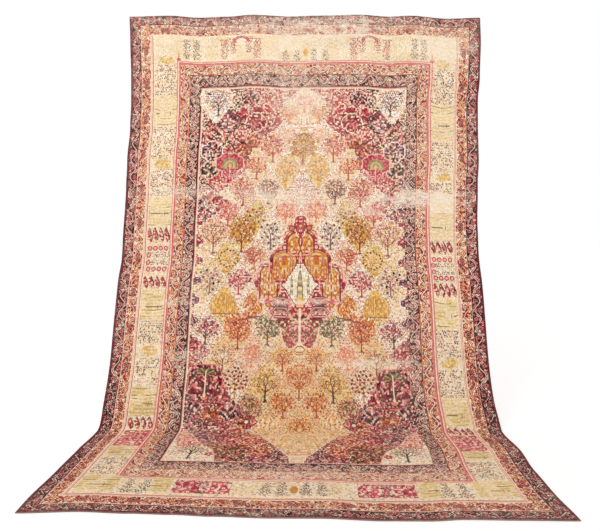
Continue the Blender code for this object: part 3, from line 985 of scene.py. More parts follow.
# ---- the plants of the garden
def canopy(x, y, wide, tall, dyes, seed, share, pitch=0.0148, size=0.0142, square=2.0):
    """Leaves in staggered rows inside a ragged oval, squarer for a higher power than 2."""
    cells, kx, ky = patch(x - wide / 2, x + wide / 2, y - tall / 2, y + tall / 2)
    away = np.abs(2 * (kx - x) / wide) ** square + np.abs(2 * (ky - y) / tall) ** square
    ragged = away + 0.5 * (drift(kx, ky, 0.02, seed) - 0.5)
    sow(cells, kx - x, ky - y, ragged < 0.92, pitch, size, dyes, seed, share, 0.75)


def fork(x, y, lean, length, width, dye, depth, seed):
    """A bough that splits in two at its tip; each shoot is shorter, thinner and turned out."""
    tip_x = x + length * np.sin(lean)
    tip_y = y - length * np.cos(lean)
    stroke(((x, y), (tip_x, tip_y)), width, dye)
    if depth:
        for hand in (-1, 1):
            turn = hand * (0.38 + 0.3 * chance(depth, hand + 2, seed))
            fork(tip_x, tip_y, lean + turn, 0.76 * length, max(0.0036, 0.72 * width), dye, depth - 1,
                 2 * seed + hand)


def trunk_and_boughs(x, top, foot, wide, dye, seed, depth):
    """A trunk with a spread foot, forked boughs, and a lower bough on each side."""
    tall = foot - top
    fork(x, foot - 0.26 * tall, 0.0, 0.2 * tall, 0.0085, dye, depth, seed)
    for hand in (-1, 1):
        fork(x, foot - 0.28 * tall, 0.85 * hand, 0.26 * wide, 0.0055, dye, depth - 2,
             seed + 5 + hand)
    stroke(((x, foot), (x, foot - 0.28 * tall)), 0.0105, dye)
    stroke(((x - 0.015, foot), (x, foot - 0.014), (x + 0.015, foot)), 0.0065, dye)


def bush(x, top, foot, wide, trunk, dyes, seed):
    """A leafy tree: a dense ragged crown of small leaves, boughs, and darker leaves over them."""
    crown = top + 0.8 * (foot - top)
    middle = 0.5 * (top + crown)
    cells, kx, ky = patch(x - wide / 2, x + wide / 2, top, crown)
    away = np.hypot(2 * (kx - x) / wide, 2 * (ky - middle) / (crown - top))
    full = away + 0.5 * (drift(kx, ky, 0.022, seed) - 0.5) < 0.95
    leafy = specks(kx, ky, seed) < (0.72 if OCHRE in dyes else 0.5)
    mosaic(cells, kx, ky, full & leafy, 0.0125, dyes, seed)
    trunk_and_boughs(x, top, foot, wide, trunk, seed, 3)
    canopy(x, middle, wide, crown - top, (trunk, dyes[0], trunk, dyes[-1]), seed + 500, 0.52,
           0.016, 0.012)


def bare(x, top, foot, wide, trunk, dyes, seed):
    """A tree with open boughs and a bud at each twig's end."""
    crown = 0.5 * top + 0.5 * foot - 0.12 * (foot - top)
    canopy(x, crown, wide, 0.8 * (foot - top), dyes, seed, 0.62, 0.0155, 0.013)
    trunk_and_boughs(x, top, foot, wide, trunk, seed, 3 if trunk == BLACK else 4)


def mound(x, top, foot, wide, seed):
    """The knots of a ragged half oval, and how far each is from the middle of its foot."""
    cells, kx, ky = patch(x - wide / 2, x + wide / 2, top, foot)
    away = np.hypot(2 * (kx - x) / wide, (foot - ky) / (foot - top))
    return cells, kx, ky, away + 0.16 * (drift(kx, ky, 0.014, seed) - 0.5)


def fan(x, top, foot, wide, trunk, dyes, seed):
    """A mound of strands that spread from the middle of its foot."""
    cells, kx, ky, away = mound(x, top, foot, wide, seed)
    ray = np.cos(np.arctan2(foot - ky, kx - x) * 22)
    mosaic(cells, kx, ky, away < 1.0, 0.012, dyes, seed)
    cells[(away < 1.0) & (ray > 0.6) & (away > 0.25)] = dyes[1]
    beaded = (ray < -0.75) & (away > 0.35) & (np.floor(away * 9) % 2 == 0)
    cells[(away < 1.0) & beaded] = dyes[-1]
    stroke(((x - wide * 0.42, foot), (x + wide * 0.42, foot)), 0.006, trunk)


def heap(x, top, foot, wide, trunk, dyes, seed):
    """A domed heap of upright strands in a shallow dish."""
    cells, kx, ky, away = mound(x, top, foot, wide, seed)
    strand = np.floor((kx - x) / 0.0085)
    mosaic(cells, kx * 1.5, ky * 0.6, away < 1.0, 0.012, dyes, seed)
    beaded = (strand % 2 == 0) & (chance(strand, np.floor(ky / 0.022), seed) < 0.55)
    cells[(away < 0.95) & beaded] = dyes[-1]
    stroke(((x - wide * 0.42, foot), (x + wide * 0.42, foot)), 0.006, trunk)


def vase(x, top, foot, wide, trunk, dyes, seed):
    """Big pointed buds among small leaves, on stems that rise from a trunk."""
    middle = 0.45 * top + 0.55 * foot
    canopy(x, middle, wide, 0.82 * (foot - top), (GREY, BLUSH, SAGE, IVORY, VIOLET), seed, 0.65)
    trunk_and_boughs(x, top, foot, wide, dyes[1], seed, 3)
    for bud in range(13):
        angle = 2.4 * bud
        away = 0.5 * np.sqrt((bud + 0.6) / 13)
        bud_x = x + away * 0.92 * wide * np.cos(angle)
        bud_y = middle - 0.01 + away * 0.8 * (foot - top) * np.sin(angle)
        leaf(bud_x, bud_y, 0.024, 0.019, angle + 0.8, dyes[bud % len(dyes)])


def flame(x, top, foot, wide, trunk, dyes, seed):
    """A flame-shaped bush in a dark dish, its leaves standing in upright rows."""
    cells, kx, ky = patch(x - wide / 2, x + wide / 2, top, foot)
    v = (ky - top) / (foot - top)
    half = 0.5 * wide * np.sin(np.pi * np.clip(0.05 + 0.8 * v ** 0.8, 0, 1))
    shape = np.abs(kx - x) / half + 0.3 * (drift(kx, ky, 0.014, seed) - 0.5)
    mosaic(cells, kx * 1.5, ky * 0.8, shape < 0.95, 0.011, dyes + (CREAM, RUST), seed)
    dish = ((x - 0.34 * wide, foot - 0.006), (x, foot + 0.004), (x + 0.34 * wide, foot - 0.006))
    stroke(dish, 0.0095, trunk)
    stroke(((x - 0.22 * wide, foot + 0.01), (x + 0.22 * wide, foot + 0.01)), 0.007, VIOLET)


def berries(x, top, foot, wide, trunk, dyes, seed):
    """Round fruit in rows on a forked trunk, with small leaves between."""
    middle = 0.5 * (top + foot) - 0.02
    tall = 0.85 * (foot - top)
    canopy(x, middle, wide, tall, (SAGE, GOLD, SALMON), seed + 1, 0.55, 0.015, 0.01, 2.4)
    trunk_and_boughs(x, top, foot, wide, trunk, seed, 3)
    canopy(x, middle, wide, tall, dyes, seed, 0.9, 0.031, 0.022, 2.4)


def burst(x, top, foot, wide, trunk, dyes, seed):
    """Fine leaves that radiate from a pale heart on many thin stems."""
    middle = 0.5 * (top + foot)
    for petal in range(22):
        angle = 2 * np.pi * petal / 22
        for share in (0.34, 0.52, 0.7, 0.88):
            leaf_x = x + share * 0.5 * wide * np.cos(angle + share)
            leaf_y = middle + share * 0.5 * (foot - top) * np.sin(angle + share)
            leaf(leaf_x, leaf_y, 0.016, 0.008, angle, dyes[(petal + int(share * 10)) % len(dyes)])
    disc(x, middle, 0.018, 0.018, WHITE)


def wreath(x, top, foot, wide, trunk, dyes, seed):
    """A ring of dark buds over gold leaves."""
    middle = 0.5 * (top + foot)
    canopy(x, middle, 0.95 * wide, 0.9 * (foot - top), (GOLD, STRAW, OCHRE, APRICOT, BLUSH), seed,
           0.85)
    for bud in range(18):
        angle = 2 * np.pi * bud / 18
        share = 0.66 + 0.08 * (bud % 2)
        bud_x = x + share * 0.5 * wide * np.cos(angle)
        bud_y = middle + share * 0.5 * (foot - top) * np.sin(angle)
        leaf(bud_x, bud_y, 0.022, 0.013, angle + 0.9, dyes[bud % len(dyes)])


DRAWERS = {"bush": bush, "bare": bare, "fan": fan, "heap": heap, "vase": vase, "flame": flame,
           "berries": berries, "burst": burst, "wreath": wreath}

for number, plant in enumerate(PLANTS):
    DRAWERS[plant.kind](-plant.x, plant.top, plant.foot, plant.wide, plant.trunk, plant.dyes,
                        200 + number)

# The golden foot of the lozenge, where the plots give way to fine florets.
cells, x, y = patch(-0.42, 0.0, 3.24, FIELD_FOOT)
melting = specks(x, y, 90) < (y - 3.26) / 0.16
foot_of_lozenge = (np.abs(x) < reach_at(LOZENGE, y) - 0.015) & melting
mosaic(cells, x, y, foot_of_lozenge, 0.015, (STRAW, CREAM, APRICOT, STRAW, KHAKI, SALMON), 91)
sow(cells, x, y, foot_of_lozenge, 0.015, 0.0115,
    (SALMON, OCHRE, IVORY, RUST, BROWN, STRAW, ROSE), 92, 0.62)
cloudy = foot_of_lozenge & (drift(x, 0.4 * y, 0.045, 93) > 0.52)
sow(cells, x, y, cloudy, 0.015, 0.014, (CREAM, IVORY, STRAW, IVORY), 94, 0.72)


# ---- medallion: tiers of hanging bunches in gold and crimson about an ivory heart
def cartouche(x, rows, dyes, line, seed, rim=3):
    """A patchy plot with a stepped outline, the same on both sides of its middle.

    The edge is straight between the outline's rows, cut into steps; rim is its width in knots.
    """
    reach = max(half for _, half in rows) + 0.03
    top = rows[0][0]
    foot = rows[-1][0]
    cells, kx, ky = patch(x - reach, x + reach, top - 0.02, foot + 0.02)
    off = np.abs(np.round((kx - x) / STEP) * STEP)

    def half_at(y):
        """Half width at each y, in steps."""
        return np.round(reach_at(rows, np.round(y / STEP) * STEP, -1.0) / STEP) * STEP

    wide = rim * KNOT
    around = np.maximum(half_at(ky - wide), half_at(ky + wide))
    cells[off <= np.maximum(around, half_at(ky) + wide)] = line
    inner = off <= half_at(ky)
    mosaic(cells, kx, ky, inner, 0.0135, dyes, seed)
    return cells, kx, ky, inner


STRAND = 7 * KNOT


def bunch(x, top, foot, wide, trunk, dyes, seed):
    """Strands that spring from the middle of an arched head, bend over and hang side by side.

    Above the level where the arch springs a strand is a ring about the middle; below it the
    strand hangs plumb.  Strands end unevenly, and every other one is beaded.
    """
    cells, kx, ky = patch(x - wide / 2, x + wide / 2, top, foot)
    spring = top + 0.42 * wide
    away = np.hypot(kx - x, np.minimum(ky - spring, 0.0) / 0.84)
    number = np.floor(away / STRAND)
    place = away / STRAND - number
    uneven = 0.03 * chance(number, np.sign(kx - x) + 2, seed)
    hung = (away < 0.5 * wide) & (ky < foot - uneven - 0.1 * away)
    bit = np.floor(ky / 0.019 + 3.0 * chance(number, 3, seed))
    lay(cells, hung, pick(dyes, number, bit, seed))
    beaded = (place > 0.45) & (place < 0.78) & (chance(number, bit, seed + 1) < 0.45)
    parted = (place < 0.26) & (chance(number, bit, seed + 2) < 0.75)
    cells[hung & (beaded | parted)] = trunk
    cells[(np.abs(away - 0.5 * wide + 0.004) < 0.0045) & (ky < foot)] = DARK_CRIMSON


Tier = namedtuple("Tier", "x top foot wide ground dyes")
TIERS = (
    Tier(0.250, 2.085, 2.370, 0.150, (ROSE, CRIMSON, BLUSH, DEEP_ROSE, PINK, IVORY),
         (GOLD, APRICOT, STRAW, CREAM)),
    Tier(0.128, 1.945, 2.215, 0.205, (CRIMSON, ROSE, RUST, BLUSH, DEEP_ROSE),
         (GOLD, APRICOT, ORANGE, STRAW)),
    Tier(0.000, 1.790, 1.975, 0.230, (RUST, CRIMSON, ORANGE, BLUSH, CRIMSON),
         (GOLD, APRICOT, ORANGE, STRAW)),
)
MEDALLION = ((1.775, 0.055), (1.8, 0.125), (1.945, 0.14), (1.96, 0.225), (2.06, 0.25),
             (2.085, 0.33), (2.19, 0.35), (2.24, 0.375), (2.29, 0.345), (2.36, 0.33),
             (2.4, 0.255), (2.5, 0.225), (2.52, 0.12))
cartouche(0.0, MEDALLION, (CRIMSON, ROSE, BLUSH, DEEP_ROSE, PINK, BLUSH, CRIMSON, IVORY), BLUSH, 299)
for number, tier in enumerate(TIERS):
    half = 0.5 * tier.wide
    skirt = 0.3 * tier.top + 0.7 * tier.foot
    rows = ((tier.top - 0.02, 0.4 * half), (tier.top + 0.02, 0.85 * half),
            (tier.top + 0.06, half + 0.012), (skirt, half + 0.012), (tier.foot + 0.012, 0.55 * half))
    cartouche(-tier.x, rows, tier.ground, BLUSH, 301 + number)
    bunch(-tier.x, tier.top, tier.foot, tier.wide, RUST, tier.dyes, 310 + number)
FINIAL = ((1.665, 0.018), (1.685, 0.045), (1.765, 0.05), (1.8, 0.03), (1.84, 0.015))
cartouche(0.0, FINIAL, (CRIMSON, RUST, BLUSH, CRIMSON, DEEP_ROSE), IVORY, 305)

# Small ovals about the tiers: (x, y, wide, tall, dye), each drawn over the last.
MEDALLION_OVALS = (
    (-0.072, 1.768, 0.052, 0.052, DARK_CRIMSON), (-0.072, 1.768, 0.034, 0.034, ORANGE),
    (-0.236, 2.030, 0.030, 0.050, DARK_CRIMSON), (-0.130, 1.925, 0.046, 0.050, CRIMSON),
    (-0.130, 1.927, 0.024, 0.032, BLUSH), (0.000, 1.880, 0.040, 0.090, CRIMSON),
    (0.000, 1.880, 0.014, 0.060, BLUSH), (0.000, 1.980, 0.034, 0.060, DARK_CRIMSON),
    (0.000, 1.984, 0.018, 0.044, APRICOT), (-0.128, 2.230, 0.040, 0.060, CRIMSON),
    (-0.128, 2.236, 0.020, 0.044, BLUSH), (-0.250, 2.395, 0.048, 0.036, RUST),
    (-0.250, 2.398, 0.026, 0.020, GOLD), (-0.345, 2.240, 0.030, 0.060, CRIMSON),
    (-0.128, 2.320, 0.044, 0.060, CRIMSON), (-0.128, 2.320, 0.018, 0.030, BLUSH),
)
for oval in MEDALLION_OVALS:
    disc(*oval)

# The ivory heart, with cypresses banded in grey, rose, violet and gold.
HEART = ((2.065, 0.018), (2.09, 0.036), (2.13, 0.06), (2.165, 0.085), (2.205, 0.1), (2.235, 0.136),
         (2.262, 0.11), (2.3, 0.088), (2.335, 0.07), (2.375, 0.045), (2.4, 0.015))
cells, x, y, heart = cartouche(0.0, HEART, (WHITE, IVORY, WHITE, WHITE, STRAW), CRIMSON, 320)
sow(cells, x, y, heart, 0.017, 0.0115, (IVORY, BLUSH, LILAC, GREY, STRAW, SAGE), 321, 0.55)
BANDING = (OLIVE, SAGE, GREY, SAGE, GREY, STRAW, SAGE, OLIVE, IVORY, STRAW, SAGE, GREY, STRAW)
for cypress_x, top, foot, wide in ((0.0, 2.115, 2.335, 0.056), (-0.066, 2.15, 2.32, 0.026)):
    cells, x, y = patch(cypress_x - wide / 2, cypress_x + wide / 2, top, foot)
    v = np.clip((y - top) / (foot - top), 0.0, 0.999)
    off = np.abs(x - cypress_x) / (0.5 * wide * v ** 0.55 * (1.25 - 0.35 * v))
    lay(cells, off < 1.0, np.asarray(BANDING)[(v * len(BANDING)).astype(int)])
    cells[(off < 1.0) & (off > 0.7)] = OLIVE
disc(0.0, 2.352, 0.086, 0.036, GOLD)
disc(0.0, 2.392, 0.06, 0.05, APRICOT)
disc(0.0, 2.088, 0.012, 0.034, OLIVE)

# Dark ground under the heart, and a speckled lobe that hangs below it on each side.
DARK_BED = (DARK_CRIMSON, DEEP_ROSE, ROSE, CRIMSON, BLUSH, PLUM, SALMON, BLUSH)
cartouche(0.0, ((2.425, 0.09), (2.47, 0.12), (2.51, 0.13)), DARK_BED, DEEP_ROSE, 330)
LOBE = ((2.512, 0.03), (2.54, 0.058), (2.6, 0.07), (2.66, 0.062), (2.7, 0.04),
        (2.73, 0.012))
cells, x, y, inner = cartouche(-0.068, LOBE, (ROSE, OLIVE, BLUSH, DUSK, DEEP_ROSE, RUST, BLUSH),
                               IVORY, 331)
sow(cells, x, y, inner, 0.015, 0.0105, (BLUSH, IVORY, CRIMSON, BROWN, SALMON), 332, 0.6)

# Two flat ringed plots, one above the other, each with a brown line over it.
FLAT_X = -0.155
FLAT_TALL = 0.062
for top, wide, line_y in ((2.345, 0.1, 2.335), (2.425, 0.118, 2.412)):
    for grown, dye in ((0.018, CRIMSON), (0.009, BLUSH), (0.0, DUSK), (-0.009, ROSE)):
        rows = ((top - grown, 0.3 * wide), (top + 0.5 * FLAT_TALL, 0.5 * wide + grown),
                (top + FLAT_TALL + grown, 0.3 * wide))
        cartouche(FLAT_X, rows, (dye,) if grown >= 0 else (ROSE, SAGE, DUSK, BLUSH), dye, 333, 0)
    stroke(((FLAT_X - 0.06, line_y), (FLAT_X + 0.06, line_y)), 0.0075, BROWN)

# A small brown foot on each side, and the ivory shaft in the middle with its cream base.
cartouche(-0.125, ((2.51, 0.045), (2.53, 0.04), (2.56, 0.012)), (BROWN, CRIMSON, CREAM),
          DARK_CRIMSON, 334)
stroke(((0.0, 2.43), (0.0, 2.74)), 0.019, IVORY)
cartouche(0.0, ((2.715, 0.006), (2.745, 0.04), (2.755, 0.012)), (CREAM, IVORY), RUST, 335)

# ---- larger plots of the spandrels, some with a palm in them
# Stepped four-lobed plots: middle, half size, family of dyes and dye of the outline.
Lobed = namedtuple("Lobed", "x y size family line")
LOBED = (
    Lobed(-0.45, 0.700, 0.070, NIGHT, BLUSH), Lobed(-0.30, 0.770, 0.052, ROSY, DEEP_ROSE),
    Lobed(-0.51, 0.830, 0.060, RED, BLUSH), Lobed(-0.63, 0.885, 0.085, DUSKY, BLACK),
    Lobed(-0.40, 0.895, 0.075, RED, IVORY), Lobed(-0.51, 0.985, 0.068, ROSY, BLACK),
    Lobed(-0.74, 1.000, 0.070, BONE, ROSE), Lobed(-0.41, 1.050, 0.062, FIRE, BLUSH),
    Lobed(-0.755, 1.130, 0.082, NIGHT, WHITE), Lobed(-0.50, 1.130, 0.058, FIRE, BLACK),
    Lobed(-0.772, 1.290, 0.066, DEEP, BLUSH), Lobed(-0.785, 1.490, 0.054, RED, BLUSH),
    Lobed(-0.785, 2.770, 0.056, RED, ROSE), Lobed(-0.60, 3.080, 0.062, RED, ROSE),
    Lobed(-0.772, 3.200, 0.064, NIGHT, DEEP_ROSE), Lobed(-0.650, 3.235, 0.070, FIRE, CRIMSON),
    Lobed(-0.53, 3.220, 0.060, NIGHT, ROSE), Lobed(-0.77, 3.350, 0.070, NIGHT, ROSE),
    Lobed(-0.60, 3.360, 0.070, RED, CRIMSON), Lobed(-0.46, 3.350, 0.058, FIRE, BLACK),
    Lobed(-0.66, 3.480, 0.065, DUSKY, ROSE), Lobed(-0.51, 3.490, 0.065, RED, CRIMSON),
    Lobed(-0.37, 3.510, 0.058, FIRE, BLUSH), Lobed(-0.55, 3.640, 0.068, WOOD, ROSE),
    Lobed(-0.40, 3.660, 0.062, WOOD, CRIMSON), Lobed(-0.25, 3.680, 0.058, FIRE, ROSE),
    Lobed(-0.45, 3.785, 0.050, WOOD, ROSE), Lobed(-0.28, 3.790, 0.045, DUSKY, CRIMSON),
)
FOUR_LOBES = ((-1.0, 0.22), (-0.8, 0.45), (-0.62, 0.5), (-0.55, 0.85), (-0.25, 1.0), (0.25, 1.0),
              (0.55, 0.85), (0.62, 0.5), (0.8, 0.45), (1.0, 0.22))
for number, plot in enumerate(LOBED):
    rows = [(plot.y + v * plot.size, half * plot.size) for v, half in FOUR_LOBES]
    rim = 3 if plot.y < 1.6 else 2
    cartouche(plot.x, rows, FAMILIES[plot.family], plot.line, 350 + number, rim)
sow(*patch(-0.85, -0.6, 2.95, 3.45), True, 0.018, 0.0135, (BLACK, DARK_CRIMSON, BLACK, PLUM), 361, 0.6)
stroke(((-0.72, 1.15), (-0.72, 1.215)), 0.015, APRICOT)

# Two plots with a palm: the upper palm has a domed crown in bands, the lower one a crown of
# drooping fronds.
UPPER_PALM = -0.604
UPPER_PLOT = ((1.15, 0.025), (1.16, 0.055), (1.18, 0.065), (1.19, 0.096), (1.205, 0.108),
              (1.265, 0.108), (1.28, 0.09), (1.295, 0.055), (1.325, 0.045), (1.345, 0.02),
              (1.4, 0.012))
cartouche(UPPER_PALM, UPPER_PLOT, (CRIMSON, PINK, DEEP_ROSE, CRIMSON, ROSE), BLUSH, 345)
sow(*patch(-0.65, -0.56, 1.12, 1.2), True, 0.016, 0.012, (BLUSH, ROSE, DARK_CRIMSON), 346, 0.7)
sow(*patch(-0.65, -0.56, 1.29, 1.36), True, 0.016, 0.012, (BLUSH, ROSE, IVORY), 347, 0.7)
cells, x, y = patch(UPPER_PALM - 0.068, UPPER_PALM + 0.068, 1.18, 1.275)
away = np.hypot(x - UPPER_PALM, np.minimum(y - 1.25, 0.0))
number = np.floor(away / 0.009 + 0.5 * drift(x, y, 0.01, 9)) % 4
heart = away < 0.02
dome = (away < 0.064) & ~heart
lay(cells, dome, np.asarray((KHAKI, SAGE, OLIVE, KHAKI))[number.astype(int)])
sow(cells, x, y, dome, 0.013, 0.0095, (KHAKI, OLIVE, STRAW, SAGE), 351, 0.55)
mosaic(cells, x, y, heart, 0.012, (ROSE, KHAKI, OLIVE, CRIMSON, SALMON), 349)
stroke(((UPPER_PALM, 1.235), (UPPER_PALM, 1.365)), 0.008, BLUSH)

LOWER_PALM = -0.712
LOWER_PLOT = ((2.875, 0.06), (2.9, 0.105), (2.96, 0.12), (3.08, 0.12), (3.11, 0.085),
              (3.15, 0.04))
cartouche(LOWER_PALM, LOWER_PLOT, (DARK_CRIMSON, CRIMSON, BLACK, ROSE, DARK_CRIMSON, BLUSH), ROSE, 348)
cells, x, y = patch(LOWER_PALM - 0.078, LOWER_PALM + 0.078, 2.885, 2.975)
aside = (x - LOWER_PALM) / 0.07
raised = (y - 2.94) / 0.052
number = np.floor(6.0 * np.arctan2(aside, -raised)) % 5
crown = (np.hypot(aside, raised) < 1.0) & (raised < -0.25 + 0.75 * np.abs(aside))
lay(cells, crown, np.asarray((OLIVE, KHAKI, MOSS, OLIVE, BLACK))[number.astype(int)])
disc(LOWER_PALM, 2.893, 0.036, 0.02, BLACK)
stroke(((LOWER_PALM, 2.915), (LOWER_PALM, 3.09)), 0.01, IVORY)
leaf(LOWER_PALM, 3.095, 0.026, 0.034, 0.0, CREAM)
leaf(LOWER_PALM, 3.12, 0.05, 0.024, 0.0, SALMON)

# ---- ivory corners: pale plots sown with flowers, each with a dark tree
CORNER_FLORETS = (BLUSH, ROSE, LILAC, STRAW, ROSE, SAGE, SALMON)
CORNER_DARKS = (DEEP_ROSE, DUSK, ROSE, BLACK, VIOLET)
UPPER_CORNER = ((0.612, 0.1), (0.66, 0.128), (0.74, 0.118), (0.8, 0.075), (0.85, 0.035),
                (0.885, 0.008))
cells, x, y, inner = cartouche(-0.738, UPPER_CORNER, (IVORY, WHITE, WHITE, CREAM), IVORY, 74)
sow(cells, x, y, inner, 0.0155, 0.013, CORNER_FLORETS, 75, 0.66)
sow(cells, x, y, inner, 0.019, 0.0115, CORNER_DARKS, 76, 0.36)

# The lower one fills the field's own corner: rosy above and ivory at its foot, with a straw
# cloud in it and plum and dark brown leaves along its slope.
LOWER_CORNER = (
    (3.35, 0.835), (3.44, 0.75), (3.53, 0.7), (3.6, 0.64), (3.66, 0.575), (3.74, 0.548),
    (3.83, 0.53),
)
sow(*patch(-0.7, -0.5, 3.36, 3.58), True, 0.017, 0.013, (PLUM, AUBERGINE, VIOLET, PLUM), 363, 0.5)
sow(*patch(-0.56, -0.36, 3.6, 3.81), True, 0.016, 0.0125, (BLACK, BROWN, OLIVE, MOSS, BLACK), 362, 0.55)
cells, x, y = patch(FIELD_LEFT, -0.52, 3.35, FIELD_FOOT)
inside_by = -x - reach_at(LOWER_CORNER, np.round(y / STEP) * STEP)
corner = inside_by > 0.0
rosy = corner & (y + 0.12 * (drift(x, y, 0.05, 77) - 0.5) < 3.59)
mosaic(cells, x, y, corner, 0.0122, (IVORY, CREAM, WHITE, CREAM), 77)
mosaic(cells, x, y, rosy, 0.0122, (BLUSH, ROSE, IVORY, BLUSH, SALMON, DEEP_ROSE, IVORY), 77)
cells[(inside_by > -0.009) & ~corner] = BLUSH
sow(cells, x, y, corner, 0.0155, 0.013, CORNER_FLORETS, 78, 0.45)
sow(cells, x, y, corner, 0.019, 0.0115, CORNER_DARKS, 79, 0.25)
straw = corner & (np.hypot(x + 0.628, 0.8 * (y - 3.655)) < 0.05)
sow(cells, x, y, straw, 0.0165, 0.015, (STRAW, CREAM, SAGE, STRAW), 80, 0.9)

# The corners' trees, and a leaf and two rosettes beside them.
CornerTree = namedtuple("CornerTree", "x foot crown share dye")
CORNER_TREES = (
    CornerTree(-0.72, 0.83, 0.70, 0.75, NAVY),
    CornerTree(-0.70, 3.79, 3.64, 0.55, BLACK),
)
for tree in CORNER_TREES:
    canopy(tree.x, tree.crown, 0.23, 0.19, (DUSK, BLACK, ROSE, VIOLET, OLIVE, CRIMSON),
           int(tree.foot * 100), tree.share, 0.0165, 0.0135)
    trunk_and_boughs(tree.x, tree.crown - 0.06, tree.foot, 0.15, tree.dye, 7, 4)
stroke(((-0.7, 3.69), (-0.704, 3.795)), 0.013, BLACK)
leaf(-0.8, 0.645, 0.045, 0.018, 0.5, BLACK)
rosette(-0.79, 0.9, 0.06, 4, ((1.0, DARK_CRIMSON), (0.5, ROSE)))
rosette(-0.58, 3.73, 0.06, 5, ((1.0, CRIMSON), (0.6, PINK), (0.25, IVORY)))

# The right half repeats the left one.
left_half, _, _ = patch(FIELD_LEFT, 0.0, FIELD_TOP, FIELD_FOOT)
right_half, _, _ = patch(0.0, -FIELD_LEFT, FIELD_TOP, FIELD_FOOT)
right_half[...] = left_half[:, ::-1]

# ================================================================================= wear
# Where a century of feet and daylight shows: knots worn down to their cotton along the rows
# and the warps, dyes bleached in clouds, and a dusty cloud low on the field.

# Soft-edged ovals on the cloth: worn bares the cotton, faded bleaches and dusty yellows.
Spot = namedtuple("Spot", "x y half_x half_y worn faded dusty", defaults=(0.0,))
SPOTS = (
    Spot(0.95, 1.52, 0.60, 0.10, 0.75, 0.45),
    Spot(1.10, 1.46, 0.45, 0.05, 0.50, 0.20),
    Spot(0.45, 1.62, 0.50, 0.07, 0.30, 0.20),
    Spot(-1.00, 1.48, 0.55, 0.09, 0.40, 0.25),
    Spot(-0.30, 1.50, 0.50, 0.10, 0.30, 0.30),
    Spot(0.00, 1.52, 0.22, 0.14, 0.20, 0.40),
    Spot(0.55, 2.83, 0.60, 0.06, 0.60, 0.25),
    Spot(-0.80, 2.80, 0.70, 0.07, 0.28, 0.15),
    Spot(-0.10, 2.37, 0.70, 0.05, 0.32, 0.15),
    Spot(-1.00, 2.40, 0.40, 0.05, 0.30, 0.15),
    Spot(0.00, 0.70, 0.45, 0.22, 0.25, 0.55),
    Spot(0.00, 0.11, 1.60, 0.12, 0.36, 0.38),
    Spot(0.00, 0.02, 2.40, 0.08, 0.16, 0.16),
    Spot(0.00, 3.98, 1.50, 0.16, 0.12, 0.40),
    Spot(1.15, 0.25, 0.40, 0.22, 0.35, 0.30),
    Spot(-0.15, 0.24, 0.20, 0.10, 0.25, 0.35),
    Spot(0.00, 0.45, 1.20, 0.35, 0.10, 0.25),
    Spot(0.00, 1.20, 0.60, 0.60, 0.06, 0.25),
    Spot(0.00, 3.76, 0.08, 0.10, 0.55, 0.80),
    Spot(0.00, 3.10, 0.70, 0.50, 0.00, 0.00, 0.20),
)


def ages(x, y):
    """Worn, faded and dusty shares at each place: soft ovals over slowly drifting shares."""
    total = np.zeros(x.shape + (4,), dtype=np.float32)
    total[..., 0] = 0.03 + 0.1 * drift(x, y, 0.35, 51)
    total[..., 1] = 0.02 + 0.16 * drift(x + 3, y, 0.55, 52)
    for spot in SPOTS:
        away = np.hypot((x - spot.x) / spot.half_x, (y - spot.y) / spot.half_y)
        share = 0.5 + 0.5 * np.cos(np.pi * np.minimum(1.0, away))
        for channel, strength in enumerate((spot.worn, spot.faded, spot.dusty)):
            total[..., channel] += share * strength
    return np.clip(total, 0.0, 1.0)


def bared_knots():
    """How far each knot is worn, 0 to 3: chance against a worn share that streaks lift.

    One noise is stretched along the rows and one along the warps; chance is drawn for three
    knots side by side, since wool goes first from the tops of the same row.
    """
    x, y = np.meshgrid(knot_x, knot_y)
    rows = drift(x * 0.14, y, 0.0065, 61) * drift(x * 0.4, y, 0.024, 62)
    warps = drift(x, y * 0.05, 0.006, 63) * drift(x, y * 0.2, 0.055, 64)
    share = ages(x, y)[..., 0] * (0.25 + 3.0 * rows ** 1.5 + 1.6 * warps ** 1.5)
    column, row = np.meshgrid(np.arange(COLUMNS), np.arange(ROWS))
    luck = 0.6 * chance(column // 3, row, 65) + 0.4 * chance(column, row, 66)
    level = (luck < share * 1.5).astype(np.uint8)
    level += luck < share
    level += luck < share * 0.6
    return level


BARED = bared_knots()

# ============================================================================ pile
# The wool pile that shows on the front: one sheet for the field, one for each side border
# and one for each end border, all tied on the same ground and cut low by long wear.


def linear(value):
    """One 0..255 screen value as the linear number that a shader takes."""
    share = value / 255.0
    return share / 12.92 if share <= 0.04045 else ((share + 0.055) / 1.055) ** 2.4


def shade(red, green, blue):
    """A colour given as it looks on a screen, for a shader."""
    return linear(red), linear(green), linear(blue), 1.0


def feed(tree, node, inputs):
    """Gives a node's sockets, by name or number, their constants or links."""
    for key, value in inputs.items():
        if isinstance(value, bpy.types.NodeSocket):
            tree.links.new(value, node.inputs[key])
        else:
            node.inputs[key].default_value = value
    return node


def put(tree, kind, inputs=None, **settings):
    """Adds a node with its own settings, and feeds it."""
    made = tree.nodes.new("ShaderNode" + kind)
    for key, value in settings.items():
        setattr(made, key, value)
    return feed(tree, made, inputs or {})


def sums(tree, operation, *values, clamp=False):
    """A Math node's result."""
    return put(tree, "Math", dict(enumerate(values)), operation=operation, use_clamp=clamp).outputs[0]


def vector_sums(tree, operation, *values, out=0):
    """A Vector Math node's result."""
    return put(tree, "VectorMath", dict(enumerate(values)), operation=operation).outputs[out]


def mixed(tree, share, below, above, blend="MIX"):
    """Two colours blended by a share."""
    made = put(tree, "Mix", {0: share, 6: below, 7: above}, data_type="RGBA", blend_type=blend)
    return made.outputs[2]


def eased_share(tree, value, low, high):
    """0 below low, 1 above high and S-shaped between."""
    limits = {0: value, 1: low, 2: high, 3: 0.0, 4: 1.0}
    return put(tree, "MapRange", limits, interpolation_type="SMOOTHSTEP").outputs[0]


